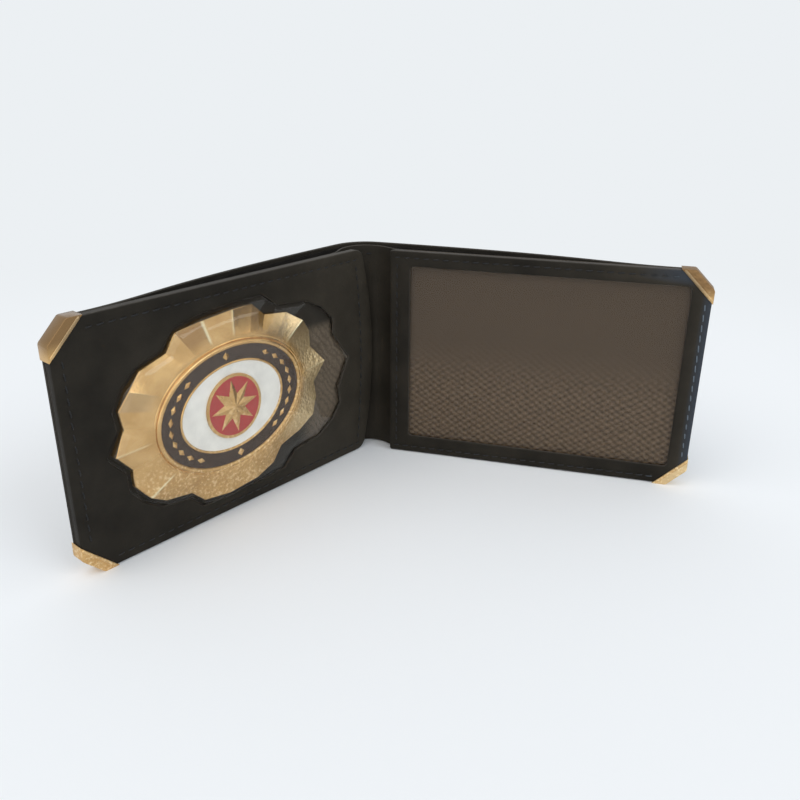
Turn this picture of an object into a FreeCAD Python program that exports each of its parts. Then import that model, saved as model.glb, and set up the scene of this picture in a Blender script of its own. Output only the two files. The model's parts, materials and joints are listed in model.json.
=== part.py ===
import FreeCAD, Part
import math
import os

# A bifold badge wallet, standing open on its lower edges. Both halves are drawn flat, side by side,
# and the badge half is then swung about the fold axis. In that flat layout x runs away from the fold,
# y runs back from the fold axis (depth) and z runs up. Lengths are millimetres, angles are degrees.

# Overall
HEIGHT = 75.0
REACH = 113.0
OPEN_ANGLE = 116.0
CORNER_CUT = 6.0

# Sheet thicknesses
PANEL_LEATHER = 0.8
COVER_LEATHER = 0.9
DIVIDER_LEATHER = 0.6
LINING = 0.2
POCKET_LINING = 0.3
WINDOW_FILM = 0.3
BOARD = 0.8
BACKING = 0.5
GLUE_LINE = 0.1
SLIP_GAP = 0.2
TURNED_EDGE = 2.5
BOARD_CLEARANCE = 0.4

# Spine and bill compartment: the sheets swing round the fold axis between the two halves
SPINE_END_GAP = 0.3
SPINE_RISE = 1.2
DIVIDER_SAG = 3.6
DIVIDER_BEND = 12.5
BILL_GAPE_FOOT = 0.3
BILL_GAPE_MIDDLE = 2.6
BILL_GAPE_TOP = 4.2
GAPE_MIDDLE_HEIGHT = 30.0
SEAM_MARGIN = 1.2

# How a gaping sheet sweeps from the spine to its outer seam at its foot, middle and top: the share of
# its length that it stays out, and the share that it lies in
FOOT_SWEEP = (0.06, 0.80)
MIDDLE_SWEEP = (0.40, 0.45)
TOP_SWEEP = (0.72, 0.24)

# Badge panel: its spine-side edge is bowed towards the spine, and the board behind it runs this far
# from the badge's tip towards the spine
BADGE_PANEL_EDGE = -1.5
BADGE_PANEL_BOW = 4.3
BADGE_BOARD_EDGE = 17.2
PANEL_FOLD_ROUNDING = 4.0
BADGE_SPINE_MARGIN = 19.2
BADGE_OUTER_MARGIN = 13.2
BADGE_FOOT_WEB = 2.0
BADGE_TOP_WEB = 3.4
BADGE_TURN = 5.0

# One quarter of the badge outline, from its side tip round to its top lobe, in shares of the badge's
# half width and half height
SIDE_NOTCH = (0.885, 0.220)
SHOULDER_LOW = (0.893, 0.414)
SHOULDER_HIGH = (0.673, 0.732)
TOP_NOTCH = (0.454, 0.800)
TOP_CORNER = (0.351, 0.963)
TOP_RIDGE = (0.141, 1.0)
SHOULDER_CROWN = 0.03

# Badge heights above its backing
RIDGE_EDGE = 3.0
VALLEY_EDGE = 1.5
PLATEAU_HEIGHT = 3.9
BEZEL_HEIGHT = 0.8
INNER_RIM_HEIGHT = 0.6
ENAMEL_DEPTH = 0.5
ENAMEL_THICKNESS = 0.7

# Badge ovals: the bezel and the inner rim are struck in proportion to the badge
BEZEL_SHARE = 0.688
INNER_RIM_SHARE = 0.490
PLATEAU_MARGIN = 1.2
BEZEL_WIDTH = 1.6
BEZEL_SLOPE = 0.5
INNER_RIM_WIDTH = 0.8

# Emblem and ring ornaments: the roundel is struck in proportion to the inner rim's half height, and
# the star in proportion to the roundel
ROUNDEL_SHARE = 0.722
ROUNDEL_THICKNESS = 0.5
ROUNDEL_RIM = 0.9
ROUNDEL_FLOOR = 0.25
STAR_SHARE = 0.845
STAR_WAIST = 0.46
STAR_POINTS = 8
STAR_RISE = 0.7
LOZENGE_LENGTH = 3.0
LOZENGE_WIDTH = 1.7
LOZENGE_RISE = 0.35
LOZENGES_PER_SIDE = 9
LOZENGE_SWEEP = 100.0
KEY_LOZENGE = 2.6

# Clear badge cover: it is drawn out past the badge towards the spine and down, less so at its shoulder
COVER_CLEARANCE = 1.0
COVER_WALL = 0.4
COVER_HEADROOM = 0.3
COVER_SPINE_DRIFT = 10.0
COVER_FOOT_DRIFT = 7.0
COVER_SHOULDER_DRIFT = 0.55
COVER_SHOULDER = 0.45
COVER_SHOULDER_DRAW = 0.6
COVER_CROWN_DRAW = 7.0
COVER_FLANGE = 1.0
CUTOUT_CLEARANCE = 0.2
CLOSED_CLEARANCE = 0.6

# ID half
ID_PANEL_EDGE = 8.0
CARD_SLOT = 0.9
WINDOW_SPINE_MARGIN = 7.0
WINDOW_OUTER_MARGIN = 6.4
WINDOW_FOOT_MARGIN = 6.5
WINDOW_TOP_MARGIN = 5.2
WINDOW_ROUNDING = 1.2

# Metal corner caps
CAP_METAL = 0.35
CAP_LEG = 10.4
CAP_ROUNDING = 1.4
CAP_CLEARANCE = 0.05

# Heights in the badge, counted up from its backing
badge_seat = PANEL_LEATHER + BOARD
enamel_floor = PLATEAU_HEIGHT - ENAMEL_DEPTH
enamel_top = enamel_floor + ENAMEL_THICKNESS
star_base = enamel_top + ROUNDEL_THICKNESS
cover_inside = star_base + STAR_RISE + COVER_HEADROOM
cover_rise = cover_inside + COVER_WALL - badge_seat

# The badge fills the panel between its margins, with room round it for the clear cover's flange
board_inset = TURNED_EDGE + BOARD_CLEARANCE
board_start = BADGE_SPINE_MARGIN - BADGE_BOARD_EDGE
flange_reach = COVER_CLEARANCE + COVER_WALL + COVER_FLANGE + CUTOUT_CLEARANCE
badge_foot = board_inset + BADGE_FOOT_WEB + flange_reach
badge_top = HEIGHT - board_inset - BADGE_TOP_WEB - flange_reach
badge_half_width = (REACH - BADGE_OUTER_MARGIN - BADGE_SPINE_MARGIN) / 2
badge_half_height = (badge_top - badge_foot) / 2
badge_centre_out = BADGE_SPINE_MARGIN + badge_half_width
badge_centre_up = badge_foot + badge_half_height
bezel = (badge_half_width * BEZEL_SHARE, badge_half_height * BEZEL_SHARE)
plateau = (bezel[0] + PLATEAU_MARGIN, bezel[1] + PLATEAU_MARGIN)
ring = (bezel[0] - BEZEL_WIDTH, bezel[1] - BEZEL_WIDTH)
inner_rim = (badge_half_width * INNER_RIM_SHARE, badge_half_height * INNER_RIM_SHARE)
field = (inner_rim[0] - INNER_RIM_WIDTH, inner_rim[1] - INNER_RIM_WIDTH)
roundel_radius = inner_rim[1] * ROUNDEL_SHARE
roundel_well = roundel_radius - ROUNDEL_RIM
star_radius = roundel_radius * STAR_SHARE

# The fold axis lies so far in front of both faces that the closed halves just clear the badge cover
face_depth = (cover_rise + CLOSED_CLEARANCE) / 2
leather_back = face_depth + PANEL_LEATHER
seat_depth = leather_back + BOARD
backing_back = seat_depth + BACKING
divider_front = backing_back + SLIP_GAP
divider_back = divider_front + DIVIDER_LEATHER
lining_front = divider_back + GLUE_LINE
cover_front = lining_front + LINING + GLUE_LINE
cover_back = cover_front + COVER_LEATHER
divider_radius = divider_front + DIVIDER_SAG
compartment_wall = DIVIDER_LEATHER + LINING + GLUE_LINE + COVER_LEATHER

# Depths of the ID half
pocket_lining_front = divider_front - POCKET_LINING
window_back = pocket_lining_front - CARD_SLOT
frame_back = window_back - WINDOW_FILM
frame_front = frame_back - PANEL_LEATHER

fold_swing = 180.0 - OPEN_ANGLE
RIGHT = 1
LEFT = -1
UP = FreeCAD.Vector(0, 0, 1)
ORIGIN = FreeCAD.Vector(0, 0, 0)
MEND_TOLERANCE = 1e-6


def spot(side, out, depth, up):
    """A point of one half: out from the fold, back from the fold axis and up."""
    return FreeCAD.Vector(side * out, depth, up)


def rounded_wire(points, radii):
    """A closed wire through the points, with an arc at each corner that has a radius."""
    starts, ends, arcs = [], [], []
    for i, corner in enumerate(points):
        radius = radii[i]
        to_last = (points[i - 1] - corner).normalize()
        to_next = (points[(i + 1) % len(points)] - corner).normalize()
        half = to_last.getAngle(to_next) / 2
        reach = radius / math.tan(half)
        first = corner + to_last * reach
        second = corner + to_next * reach
        bisector = (to_last + to_next).normalize()
        middle = corner + bisector * (radius / math.sin(half) - radius)
        starts.append(first)
        ends.append(second)
        arcs.append(Part.Arc(first, middle, second).toShape() if radius > 0 else None)
    edges = []
    for i in range(len(points)):
        if arcs[i]:
            edges.append(arcs[i])
        edges.append(Part.LineSegment(ends[i], starts[(i + 1) % len(points)]).toShape())
    return Part.Wire(edges)


def plate(side, outline, front, back, radii=None):
    """A flat plate between two depths, from an outline of (out, up) points."""
    points = [spot(side, out, front, up) for out, up in outline]
    wire = rounded_wire(points, radii or [0.0] * len(points))
    return Part.Face(wire).extrude(FreeCAD.Vector(0, back - front, 0))


def half_outline(edge, inset=0.0):
    """The outline of one half from a spine-side edge, its outer corners cut off at 45 degrees."""
    far = REACH - inset
    foot = inset
    top = HEIGHT - inset
    cut = CORNER_CUT - inset * (2 - math.sqrt(2))
    return [(edge, foot), (far - cut, foot), (far, foot + cut),
            (far, top - cut), (far - cut, top), (edge, top)]


def spine_radii(radius):
    """Corner radii for half_outline: only the two spine-side corners are rounded."""
    return [radius, 0.0, 0.0, 0.0, 0.0, radius]


def turned_panel(side, edge, front, leather_end, edge_end, rounding):
    """A leather panel whose foot, top and outer edges are turned back to the sheet behind it."""
    sheet = plate(side, half_outline(edge), front, leather_end, spine_radii(rounding))
    rim_start = edge + rounding
    rim = plate(side, half_outline(rim_start), leather_end, edge_end)
    hollow = plate(side, half_outline(rim_start - TURNED_EDGE, TURNED_EDGE), leather_end, edge_end)
    return sheet.fuse(rim.cut(hollow)).removeSplitter()


def bezier(points):
    curve = Part.BezierCurve()
    curve.setPoles(points)
    return curve.toShape()


def line(start, end):
    return Part.LineSegment(start, end).toShape()


def corner_offcuts(side):
    """The two prisms that cut the outer corners off a sheet."""
    near = REACH - CORNER_CUT
    far = REACH + CORNER_CUT
    offcuts = []
    for corner, level in ((0.0, CORNER_CUT), (HEIGHT, HEIGHT - CORNER_CUT)):
        wedge = [(near, corner), (REACH, level), (far, level), (far, corner)]
        offcuts.append(plate(side, wedge, 0.0, spine_radius(HEIGHT)))
    return offcuts


def spine_end(side):
    """Where the sheets of a half start: joined to the spine on the ID half, clear of it on the other."""
    return SPINE_END_GAP if side == LEFT else 0.0


def spine_radius(up):
    """Outer radius of the spine at a height: the sewn foot is tight and the top gapes."""
    foot, middle, top = BILL_GAPE_FOOT, BILL_GAPE_MIDDLE, BILL_GAPE_TOP
    share = GAPE_MIDDLE_HEIGHT / HEIGHT
    bow = (middle - foot - (top - foot) * share) / (share * (1 - share))
    t = up / HEIGHT
    return divider_radius + compartment_wall + foot + (top - foot) * t + bow * t * (1 - t)


def gaping_section(side, up, offset, thickness, sweep_shares):
    """Plan outline of a gaping sheet at one height. It leaves the spine at the spine's radius,
    sweeps in and lies on the divider along its outer seam."""
    early, late = sweep_shares
    start = spine_end(side)
    end = REACH - CAP_LEG - SEAM_MARGIN
    sweep = end - start
    spine_depth = spine_radius(up) - COVER_LEATHER - offset
    seam_depth = cover_front - offset
    edges = []
    for depth in (0.0, thickness):
        poles = [spot(side, start, spine_depth + depth, up),
                 spot(side, start + early * sweep, spine_depth + depth, up),
                 spot(side, end - late * sweep, seam_depth + depth, up),
                 spot(side, end, seam_depth + depth, up)]
        edge_point = spot(side, REACH, seam_depth + depth, up)
        edges.append((poles, edge_point))
    (inner, inner_end), (outer, outer_end) = edges
    return Part.Wire([bezier(inner), line(inner[-1], inner_end), line(inner_end, outer_end),
                      line(outer_end, outer[-1]), bezier(outer[::-1]), line(outer[0], inner[0])])


def gaping_sheet(side, offset, thickness, foot):
    """A sheet of the bill compartment: sewn flat along its foot and open at its top."""
    sections = [gaping_section(side, foot, offset, thickness, FOOT_SWEEP),
                gaping_section(side, GAPE_MIDDLE_HEIGHT, offset, thickness, MIDDLE_SWEEP),
                gaping_section(side, HEIGHT - foot, offset, thickness, TOP_SWEEP)]
    sheet = Part.makeLoft(sections, True, False)
    for offcut in corner_offcuts(side):
        sheet = sheet.cut(offcut)
    return sheet


def spine_sheet(offset, thickness, top):
    """A sheet of the bill compartment swung round the fold axis, from the back of one half to the
    back of the other. offset is how far its outer face lies inside the outer face of the cover."""
    middle = (SPINE_RISE + top) / 2
    foot_radius = spine_radius(SPINE_RISE)
    top_radius = spine_radius(top)
    pull = 2 * spine_radius(middle) - (foot_radius + top_radius) / 2
    poles = [(foot_radius, SPINE_RISE), (pull, middle), (top_radius, top)]
    outer = [FreeCAD.Vector(0, radius - offset, up) for radius, up in poles]
    inner = [FreeCAD.Vector(0, radius - offset - thickness, up) for radius, up in poles]
    profile = Part.Wire([bezier(outer), line(outer[-1], inner[-1]),
                         bezier(inner[::-1]), line(inner[0], outer[0])])
    return Part.Face(profile).revolve(ORIGIN, UP, fold_swing)


def spine_divider():
    outer = divider_radius + DIVIDER_LEATHER
    corners = [(divider_radius, SPINE_RISE), (outer, SPINE_RISE), (outer, HEIGHT), (divider_radius, HEIGHT)]
    points = [FreeCAD.Vector(0, radius, up) for radius, up in corners]
    return Part.Face(Part.makePolygon(points + points[:1])).revolve(ORIGIN, UP, fold_swing)


def divider(side):
    """The divider of one half: flat behind the panel, swept back to the spine near the fold."""
    start = spine_end(side)
    half_bend = (DIVIDER_BEND - start) / 2
    chains = []
    for depth in (0.0, DIVIDER_LEATHER):
        spine_depth = divider_radius + depth
        flat_depth = divider_front + depth
        poles = [spot(side, start, spine_depth, 0), spot(side, start + half_bend, spine_depth, 0),
                 spot(side, DIVIDER_BEND - half_bend, flat_depth, 0), spot(side, DIVIDER_BEND, flat_depth, 0)]
        chains.append((poles, spot(side, REACH, flat_depth, 0)))
    (front, front_end), (back, back_end) = chains
    wire = Part.Wire([bezier(front), line(front[-1], front_end), line(front_end, back_end),
                      line(back_end, back[-1]), bezier(back[::-1]), line(back[0], front[0])])
    sheet = Part.Face(wire).extrude(UP * HEIGHT)
    for offcut in corner_offcuts(side):
        sheet = sheet.cut(offcut)
    return sheet


def badge_outline():
    """The sunburst outline as (across, up, edge height): side tips, shoulders and broad lobes."""
    middle = [(low + high) / 2 for low, high in zip(SHOULDER_LOW, SHOULDER_HIGH)]
    stretch = 1 + SHOULDER_CROWN
    shares = [SIDE_NOTCH + (VALLEY_EDGE,), SHOULDER_LOW + (VALLEY_EDGE,),
              (middle[0] * stretch, middle[1] * stretch, RIDGE_EDGE),
              SHOULDER_HIGH + (VALLEY_EDGE,), TOP_NOTCH + (VALLEY_EDGE,),
              TOP_CORNER + (VALLEY_EDGE,), TOP_RIDGE + (RIDGE_EDGE,)]
    quarter = [(across * badge_half_width, up * badge_half_height, edge) for across, up, edge in shares]
    half = [(badge_half_width, 0.0, RIDGE_EDGE)] + quarter
    half += [(-across, up, edge) for across, up, edge in quarter[::-1]]
    return half + [(-across, -up, edge) for across, up, edge in half]


def badge_point(across, up, height):
    """A point on the badge, in the flat layout of the badge half, before the badge is turned."""
    return spot(LEFT, badge_centre_out + across, seat_depth - height, badge_centre_up + up)


def turned_on_panel(shape):
    """Turns a badge piece about the badge's centre, outer end down."""
    shape.rotate(badge_point(0, 0, 0), FreeCAD.Vector(0, 1, 0), -BADGE_TURN)
    return shape


def cover_wire(scale, height, drift):
    """The badge outline scaled up and drawn out on its spine side, there also down below the middle."""
    points = []
    for across, up, edge in badge_outline():
        share = drift * max(0.0, -across / badge_half_width)
        out = COVER_SPINE_DRIFT * share
        down = COVER_FOOT_DRIFT * share if up <= 0 else 0.0
        points.append(badge_point(across * scale - out, up * scale - down, height))
    return Part.makePolygon(points + points[:1])


def outline_scale(clearance):
    """The scale that grows the badge outline by a clearance at its top and foot."""
    return 1 + clearance / badge_half_height


def raised(wire, low, high):
    """A block from a wire on the badge at one height up to another height."""
    return Part.Face(wire).extrude(FreeCAD.Vector(0, low - high, 0))


def cover_block(scale, low, high):
    return raised(cover_wire(scale, low, 1.0), low, high)


def oval_wire(half_axes, height):
    centre = badge_point(0, 0, height)
    axes = [FreeCAD.Vector(half_axes[0], 0, 0), UP * half_axes[1]]
    minor, major = sorted(axes, key=lambda axis: axis.Length)
    return Part.Wire([Part.Ellipse(centre + major, centre + minor, centre).toShape()])


def oval_block(half_axes, low, high):
    return raised(oval_wire(half_axes, low), low, high)


def disc_block(radius, low, high):
    circle = Part.Circle(badge_point(0, 0, low), FreeCAD.Vector(0, 1, 0), radius)
    return raised(Part.Wire([circle.toShape()]), low, high)


def closed_solid(loops):
    """A solid bounded by flat faces, one for each loop of corners."""
    faces = [Part.Face(Part.makePolygon(loop + loop[:1])) for loop in loops]
    solid = Part.Solid(Part.Shell(faces))
    solid.fix(MEND_TOLERANCE, MEND_TOLERANCE, MEND_TOLERANCE)
    return solid


def sunburst():
    """The struck rays: a ridge runs in from each tip and lobe to the oval plateau, a valley from
    each notch."""
    outline = badge_outline()
    foot, brim, crest = [], [], []
    for across, up, edge in outline:
        turn = math.atan2(up / plateau[1], across / plateau[0])
        foot.append(badge_point(across, up, 0.0))
        brim.append(badge_point(across, up, edge))
        crest.append(badge_point(plateau[0] * math.cos(turn), plateau[1] * math.sin(turn), PLATEAU_HEIGHT))
    loops = [foot, crest]
    for i in range(len(outline)):
        j = (i + 1) % len(outline)
        loops.append([foot[i], foot[j], brim[j], brim[i]])
        loops.append([brim[i], brim[j], crest[j]])
        loops.append([brim[i], crest[j], crest[i]])
    return closed_solid(loops)


def badge_body():
    """The gilt badge: rays, a sloped bezel, and two floors sunk for the enamels."""
    bezel_top = PLATEAU_HEIGHT + BEZEL_HEIGHT
    rim_top = PLATEAU_HEIGHT + INNER_RIM_HEIGHT
    bezel_crest = (bezel[0] - BEZEL_SLOPE, bezel[1] - BEZEL_SLOPE)
    slope = Part.makeLoft([oval_wire(bezel, PLATEAU_HEIGHT), oval_wire(bezel_crest, bezel_top)], True, True)
    body = sunburst().fuse(slope).cut(oval_block(ring, enamel_floor, bezel_top))
    rim = oval_block(inner_rim, enamel_floor, rim_top).cut(oval_block(field, enamel_floor, rim_top))
    return body.fuse(rim).removeSplitter()


def enamel_ring():
    return oval_block(ring, enamel_floor, enamel_top).cut(oval_block(inner_rim, enamel_floor, enamel_top))


def emblem_roundel():
    disc = disc_block(roundel_radius, enamel_top, star_base)
    return disc.cut(disc_block(roundel_well, enamel_top + ROUNDEL_FLOOR, star_base))


def pyramid(corners, apex):
    sides = [[corners[i - 1], corner, apex] for i, corner in enumerate(corners)]
    return closed_solid([corners] + sides)


def emblem_star():
    """A star with a ridge along each point, rising to its middle."""
    count = 2 * STAR_POINTS
    corners = []
    for i in range(count):
        radius = star_radius if i % 2 == 0 else star_radius * STAR_WAIST
        turn = 2 * math.pi * i / count
        corners.append(badge_point(radius * math.sin(turn), radius * math.cos(turn), star_base))
    return pyramid(corners, badge_point(0, 0, star_base + STAR_RISE))


def lozenge(turn, length, width):
    """A small pyramid on the middle line of the enamel ring, lying along it."""
    half_width = (ring[0] + inner_rim[0]) / 2
    half_height = (ring[1] + inner_rim[1]) / 2
    across = half_width * math.cos(turn)
    up = half_height * math.sin(turn)
    heading = math.atan2(half_height * math.cos(turn), -half_width * math.sin(turn))
    along = (math.cos(heading), math.sin(heading))
    corners = []
    for ahead, aside in ((length, 0), (0, width), (-length, 0), (0, -width)):
        corners.append(badge_point(across + (ahead * along[0] - aside * along[1]) / 2,
                                   up + (ahead * along[1] + aside * along[0]) / 2, enamel_top))
    return pyramid(corners, badge_point(across, up, enamel_top + LOZENGE_RISE))


def ring_ornaments():
    """A chain of lozenges on each side of the ring, and a square one at its top and foot."""
    pieces = []
    for middle in (0.0, 180.0):
        for i in range(LOZENGES_PER_SIDE):
            turn = middle + LOZENGE_SWEEP * (i / (LOZENGES_PER_SIDE - 1) - 0.5)
            pieces.append(lozenge(math.radians(turn), LOZENGE_LENGTH, LOZENGE_WIDTH))
    for turn in (90.0, 270.0):
        pieces.append(lozenge(math.radians(turn), KEY_LOZENGE, KEY_LOZENGE))
    return Part.makeCompound(pieces)


def badge_cover():
    """A clear shell drawn up over the badge, with a flange that the panel's leather holds down."""
    wall = COVER_WALL
    flange_foot = BOARD - wall
    inside_scale = outline_scale(COVER_CLEARANCE)
    outside_scale = outline_scale(COVER_CLEARANCE + wall)
    shoulder = badge_seat + COVER_SHOULDER * cover_rise
    shoulder_draw = COVER_SHOULDER_DRAW / badge_half_height
    crown_draw = COVER_CROWN_DRAW / badge_half_height
    shells = []
    for scale, low, top, drop in ((outside_scale, flange_foot, cover_inside + wall, 0.0),
                                  (inside_scale, 0.0, cover_inside, wall)):
        sections = [cover_wire(scale, low, 1.0),
                    cover_wire(scale - shoulder_draw, shoulder - drop, COVER_SHOULDER_DRIFT),
                    cover_wire(scale - crown_draw, top, 0.0)]
        shells.append(Part.makeLoft(sections, True, True))
    flange = cover_block(outline_scale(COVER_CLEARANCE + wall + COVER_FLANGE), flange_foot, BOARD)
    return shells[0].fuse(flange).cut(shells[1]).removeSplitter()


def spine_bow():
    """The strip of leather between the badge panel's straight spine-side edge and its bowed edge."""
    low = spot(LEFT, BADGE_PANEL_EDGE, face_depth, PANEL_FOLD_ROUNDING)
    middle = spot(LEFT, BADGE_PANEL_EDGE - BADGE_PANEL_BOW, face_depth, HEIGHT / 2)
    high = spot(LEFT, BADGE_PANEL_EDGE, face_depth, HEIGHT - PANEL_FOLD_ROUNDING)
    wire = Part.Wire([Part.Arc(low, middle, high).toShape(), line(high, low)])
    return Part.Face(wire).extrude(FreeCAD.Vector(0, PANEL_LEATHER, 0))


def badge_panel():
    panel = turned_panel(LEFT, BADGE_PANEL_EDGE, face_depth, leather_back, divider_front, PANEL_FOLD_ROUNDING)
    scale = outline_scale(COVER_CLEARANCE + COVER_WALL + CUTOUT_CLEARANCE)
    panel = panel.fuse(spine_bow()).removeSplitter()
    return panel.cut(turned_on_panel(cover_block(scale, BOARD, badge_seat)))


def badge_board():
    board = plate(LEFT, half_outline(board_start, board_inset), leather_back, seat_depth)
    return board.cut(turned_on_panel(cover_block(outline_scale(flange_reach), 0.0, BOARD)))


def badge_backing():
    return plate(LEFT, half_outline(board_start, board_inset), seat_depth, backing_back)


def id_frame():
    frame = turned_panel(RIGHT, ID_PANEL_EDGE, frame_front, frame_back, pocket_lining_front, 0.0)
    near = ID_PANEL_EDGE + WINDOW_SPINE_MARGIN
    far = REACH - WINDOW_OUTER_MARGIN
    top = HEIGHT - WINDOW_TOP_MARGIN
    opening = [(near, WINDOW_FOOT_MARGIN), (far, WINDOW_FOOT_MARGIN), (far, top), (near, top)]
    return frame.cut(plate(RIGHT, opening, frame_front, frame_back, [WINDOW_ROUNDING] * len(opening)))


def id_window():
    return plate(RIGHT, half_outline(ID_PANEL_EDGE + BOARD_CLEARANCE, board_inset), frame_back, window_back)


def id_pocket_lining():
    return plate(RIGHT, half_outline(DIVIDER_BEND), pocket_lining_front, divider_front)


def corner_cap(side, front, top):
    """A folded metal cap over an outer corner of one half, from its face to the back of its cover."""
    foot_start, cut_start, cut_end = half_outline(REACH - CAP_LEG, -CAP_METAL)[:3]
    outline = [foot_start, cut_start, cut_end, (cut_end[0], CAP_LEG)]
    if top:
        outline = [(out, HEIGHT - up) for out, up in outline]
    rounding = [0.0, CAP_ROUNDING, CAP_ROUNDING, 0.0]
    back = cover_back + CAP_CLEARANCE
    shell = plate(side, outline, front - CAP_METAL, back + CAP_METAL, rounding)
    return shell.cut(plate(side, half_outline(0.0), front, back))


badge_half = {
    "cover_left": gaping_sheet(LEFT, 0.0, COVER_LEATHER, 0.0),
    "cover_lining_left": gaping_sheet(LEFT, LINING + GLUE_LINE, LINING, SPINE_RISE),
    "divider_left": divider(LEFT),
    "badge_panel": badge_panel(),
    "badge_board": badge_board(),
    "badge_backing": badge_backing(),
    "badge_cover": turned_on_panel(badge_cover()),
    "badge_body": turned_on_panel(badge_body()),
    "enamel_ring": turned_on_panel(enamel_ring()),
    "enamel_field": turned_on_panel(oval_block(field, enamel_floor, enamel_top)),
    "emblem_roundel": turned_on_panel(emblem_roundel()),
    "emblem_enamel": turned_on_panel(disc_block(roundel_well, enamel_top + ROUNDEL_FLOOR, star_base)),
    "emblem_star": turned_on_panel(emblem_star()),
    "ring_ornaments": turned_on_panel(ring_ornaments()),
    "corner_top_left": corner_cap(LEFT, face_depth, True),
    "corner_bottom_left": corner_cap(LEFT, face_depth, False),
}
for shape in badge_half.values():
    shape.rotate(ORIGIN, UP, fold_swing)

id_half = {
    "cover_right": gaping_sheet(RIGHT, 0.0, COVER_LEATHER, 0.0),
    "cover_lining_right": gaping_sheet(RIGHT, LINING + GLUE_LINE, LINING, SPINE_RISE),
    "divider_right": divider(RIGHT),
    "id_frame": id_frame(),
    "id_window": id_window(),
    "id_pocket_lining": id_pocket_lining(),
    "corner_top_right": corner_cap(RIGHT, frame_front, True),
    "corner_bottom_right": corner_cap(RIGHT, frame_front, False),
    "spine_cover": spine_sheet(0.0, COVER_LEATHER, HEIGHT),
    "spine_lining": spine_sheet(COVER_LEATHER + GLUE_LINE, LINING, HEIGHT - SPINE_RISE),
    "spine_divider": spine_divider(),
}

# The origin goes to the middle of the standing wallet's box, at its foot
nodes = {**badge_half, **id_half}
box = Part.makeCompound(list(nodes.values())).optimalBoundingBox(False, False)
shift = FreeCAD.Vector(-box.Center.x, -box.Center.y, -box.ZMin)
os.makedirs("parts", exist_ok=True)
for name, shape in nodes.items():
    shape.translate(shift)
    shape.exportStep("parts/" + name + ".step")
print("fold axis at", shift.x, shift.y, "box", box.XLength, box.YLength, box.ZLength)
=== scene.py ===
import json
import math

import bmesh
import bpy
import numpy as np
from bpy.props import FloatProperty, FloatVectorProperty, IntProperty, PointerProperty
from mathutils import Matrix, Vector
from mathutils.geometry import delaunay_2d_cdt

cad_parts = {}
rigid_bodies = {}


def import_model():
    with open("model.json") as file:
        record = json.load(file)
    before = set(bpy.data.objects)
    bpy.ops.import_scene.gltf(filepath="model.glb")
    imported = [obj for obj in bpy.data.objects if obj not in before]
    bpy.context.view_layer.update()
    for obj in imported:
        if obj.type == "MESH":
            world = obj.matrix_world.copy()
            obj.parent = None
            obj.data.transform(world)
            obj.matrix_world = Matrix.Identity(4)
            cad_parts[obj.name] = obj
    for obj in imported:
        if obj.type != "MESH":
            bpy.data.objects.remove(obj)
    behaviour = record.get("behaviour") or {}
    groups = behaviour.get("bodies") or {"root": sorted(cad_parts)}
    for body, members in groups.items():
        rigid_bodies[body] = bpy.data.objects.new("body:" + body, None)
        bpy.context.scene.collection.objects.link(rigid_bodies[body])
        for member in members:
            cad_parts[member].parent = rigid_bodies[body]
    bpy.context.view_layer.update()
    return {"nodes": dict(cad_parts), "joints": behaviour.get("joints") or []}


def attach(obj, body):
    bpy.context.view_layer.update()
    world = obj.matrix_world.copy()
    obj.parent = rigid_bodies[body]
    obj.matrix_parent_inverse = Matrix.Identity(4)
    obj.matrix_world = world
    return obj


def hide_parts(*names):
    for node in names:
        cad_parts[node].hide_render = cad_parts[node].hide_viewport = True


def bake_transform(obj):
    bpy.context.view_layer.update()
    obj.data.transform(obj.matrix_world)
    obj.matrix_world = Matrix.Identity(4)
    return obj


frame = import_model()

bl_info = {
    "name": "ID badge wallet",
    "version": (1, 0, 0),
    "blender": (4, 5, 0),
    "location": "View3D > Sidebar > Wallet",
    "description": "Dresses the CAD frame of a bifold leather badge wallet",
    "category": "Object",
}

MM = 0.001
RIGHT = 1
LEFT = -1
FOLD_JOINT = frame["joints"][0]
FOLD = Vector(FOLD_JOINT["pos_m"])
SWING = math.radians(-FOLD_JOINT["range_deg"][0])
SWING_COS = math.cos(SWING)
SWING_SIN = math.sin(SWING)
ID_HALF = FOLD_JOINT["parent"]
BADGE_HALF = FOLD_JOINT["child"]


def flat_box(node, side):
    """A CAD node's box with its half laid flat: distance out from the fold, depth behind the
    fold axis, and height, as (lowest, highest)."""
    points = np.array([v.co for v in frame["nodes"][node].data.vertices], float)
    x, y = points[:, 0] - FOLD.x, points[:, 1] - FOLD.y
    if side == LEFT:
        x, y = x * SWING_COS + y * SWING_SIN, y * SWING_COS - x * SWING_SIN
    flat = np.stack([side * x, y, points[:, 2]], axis=1)
    return flat.min(0).tolist(), flat.max(0).tolist()


FRAME_LOW, FRAME_HIGH = flat_box("id_frame", RIGHT)
FILM_LOW, FILM_HIGH = flat_box("id_window", RIGHT)
POCKET_LOW, POCKET_HIGH = flat_box("id_pocket_lining", RIGHT)
DIVIDER_LOW, DIVIDER_HIGH = flat_box("divider_right", RIGHT)
BOARD_LOW, BOARD_HIGH = flat_box("badge_board", LEFT)
FIELD_LOW, FIELD_HIGH = flat_box("enamel_field", LEFT)
DOME_LOW, DOME_HIGH = flat_box("badge_cover", LEFT)

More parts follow.
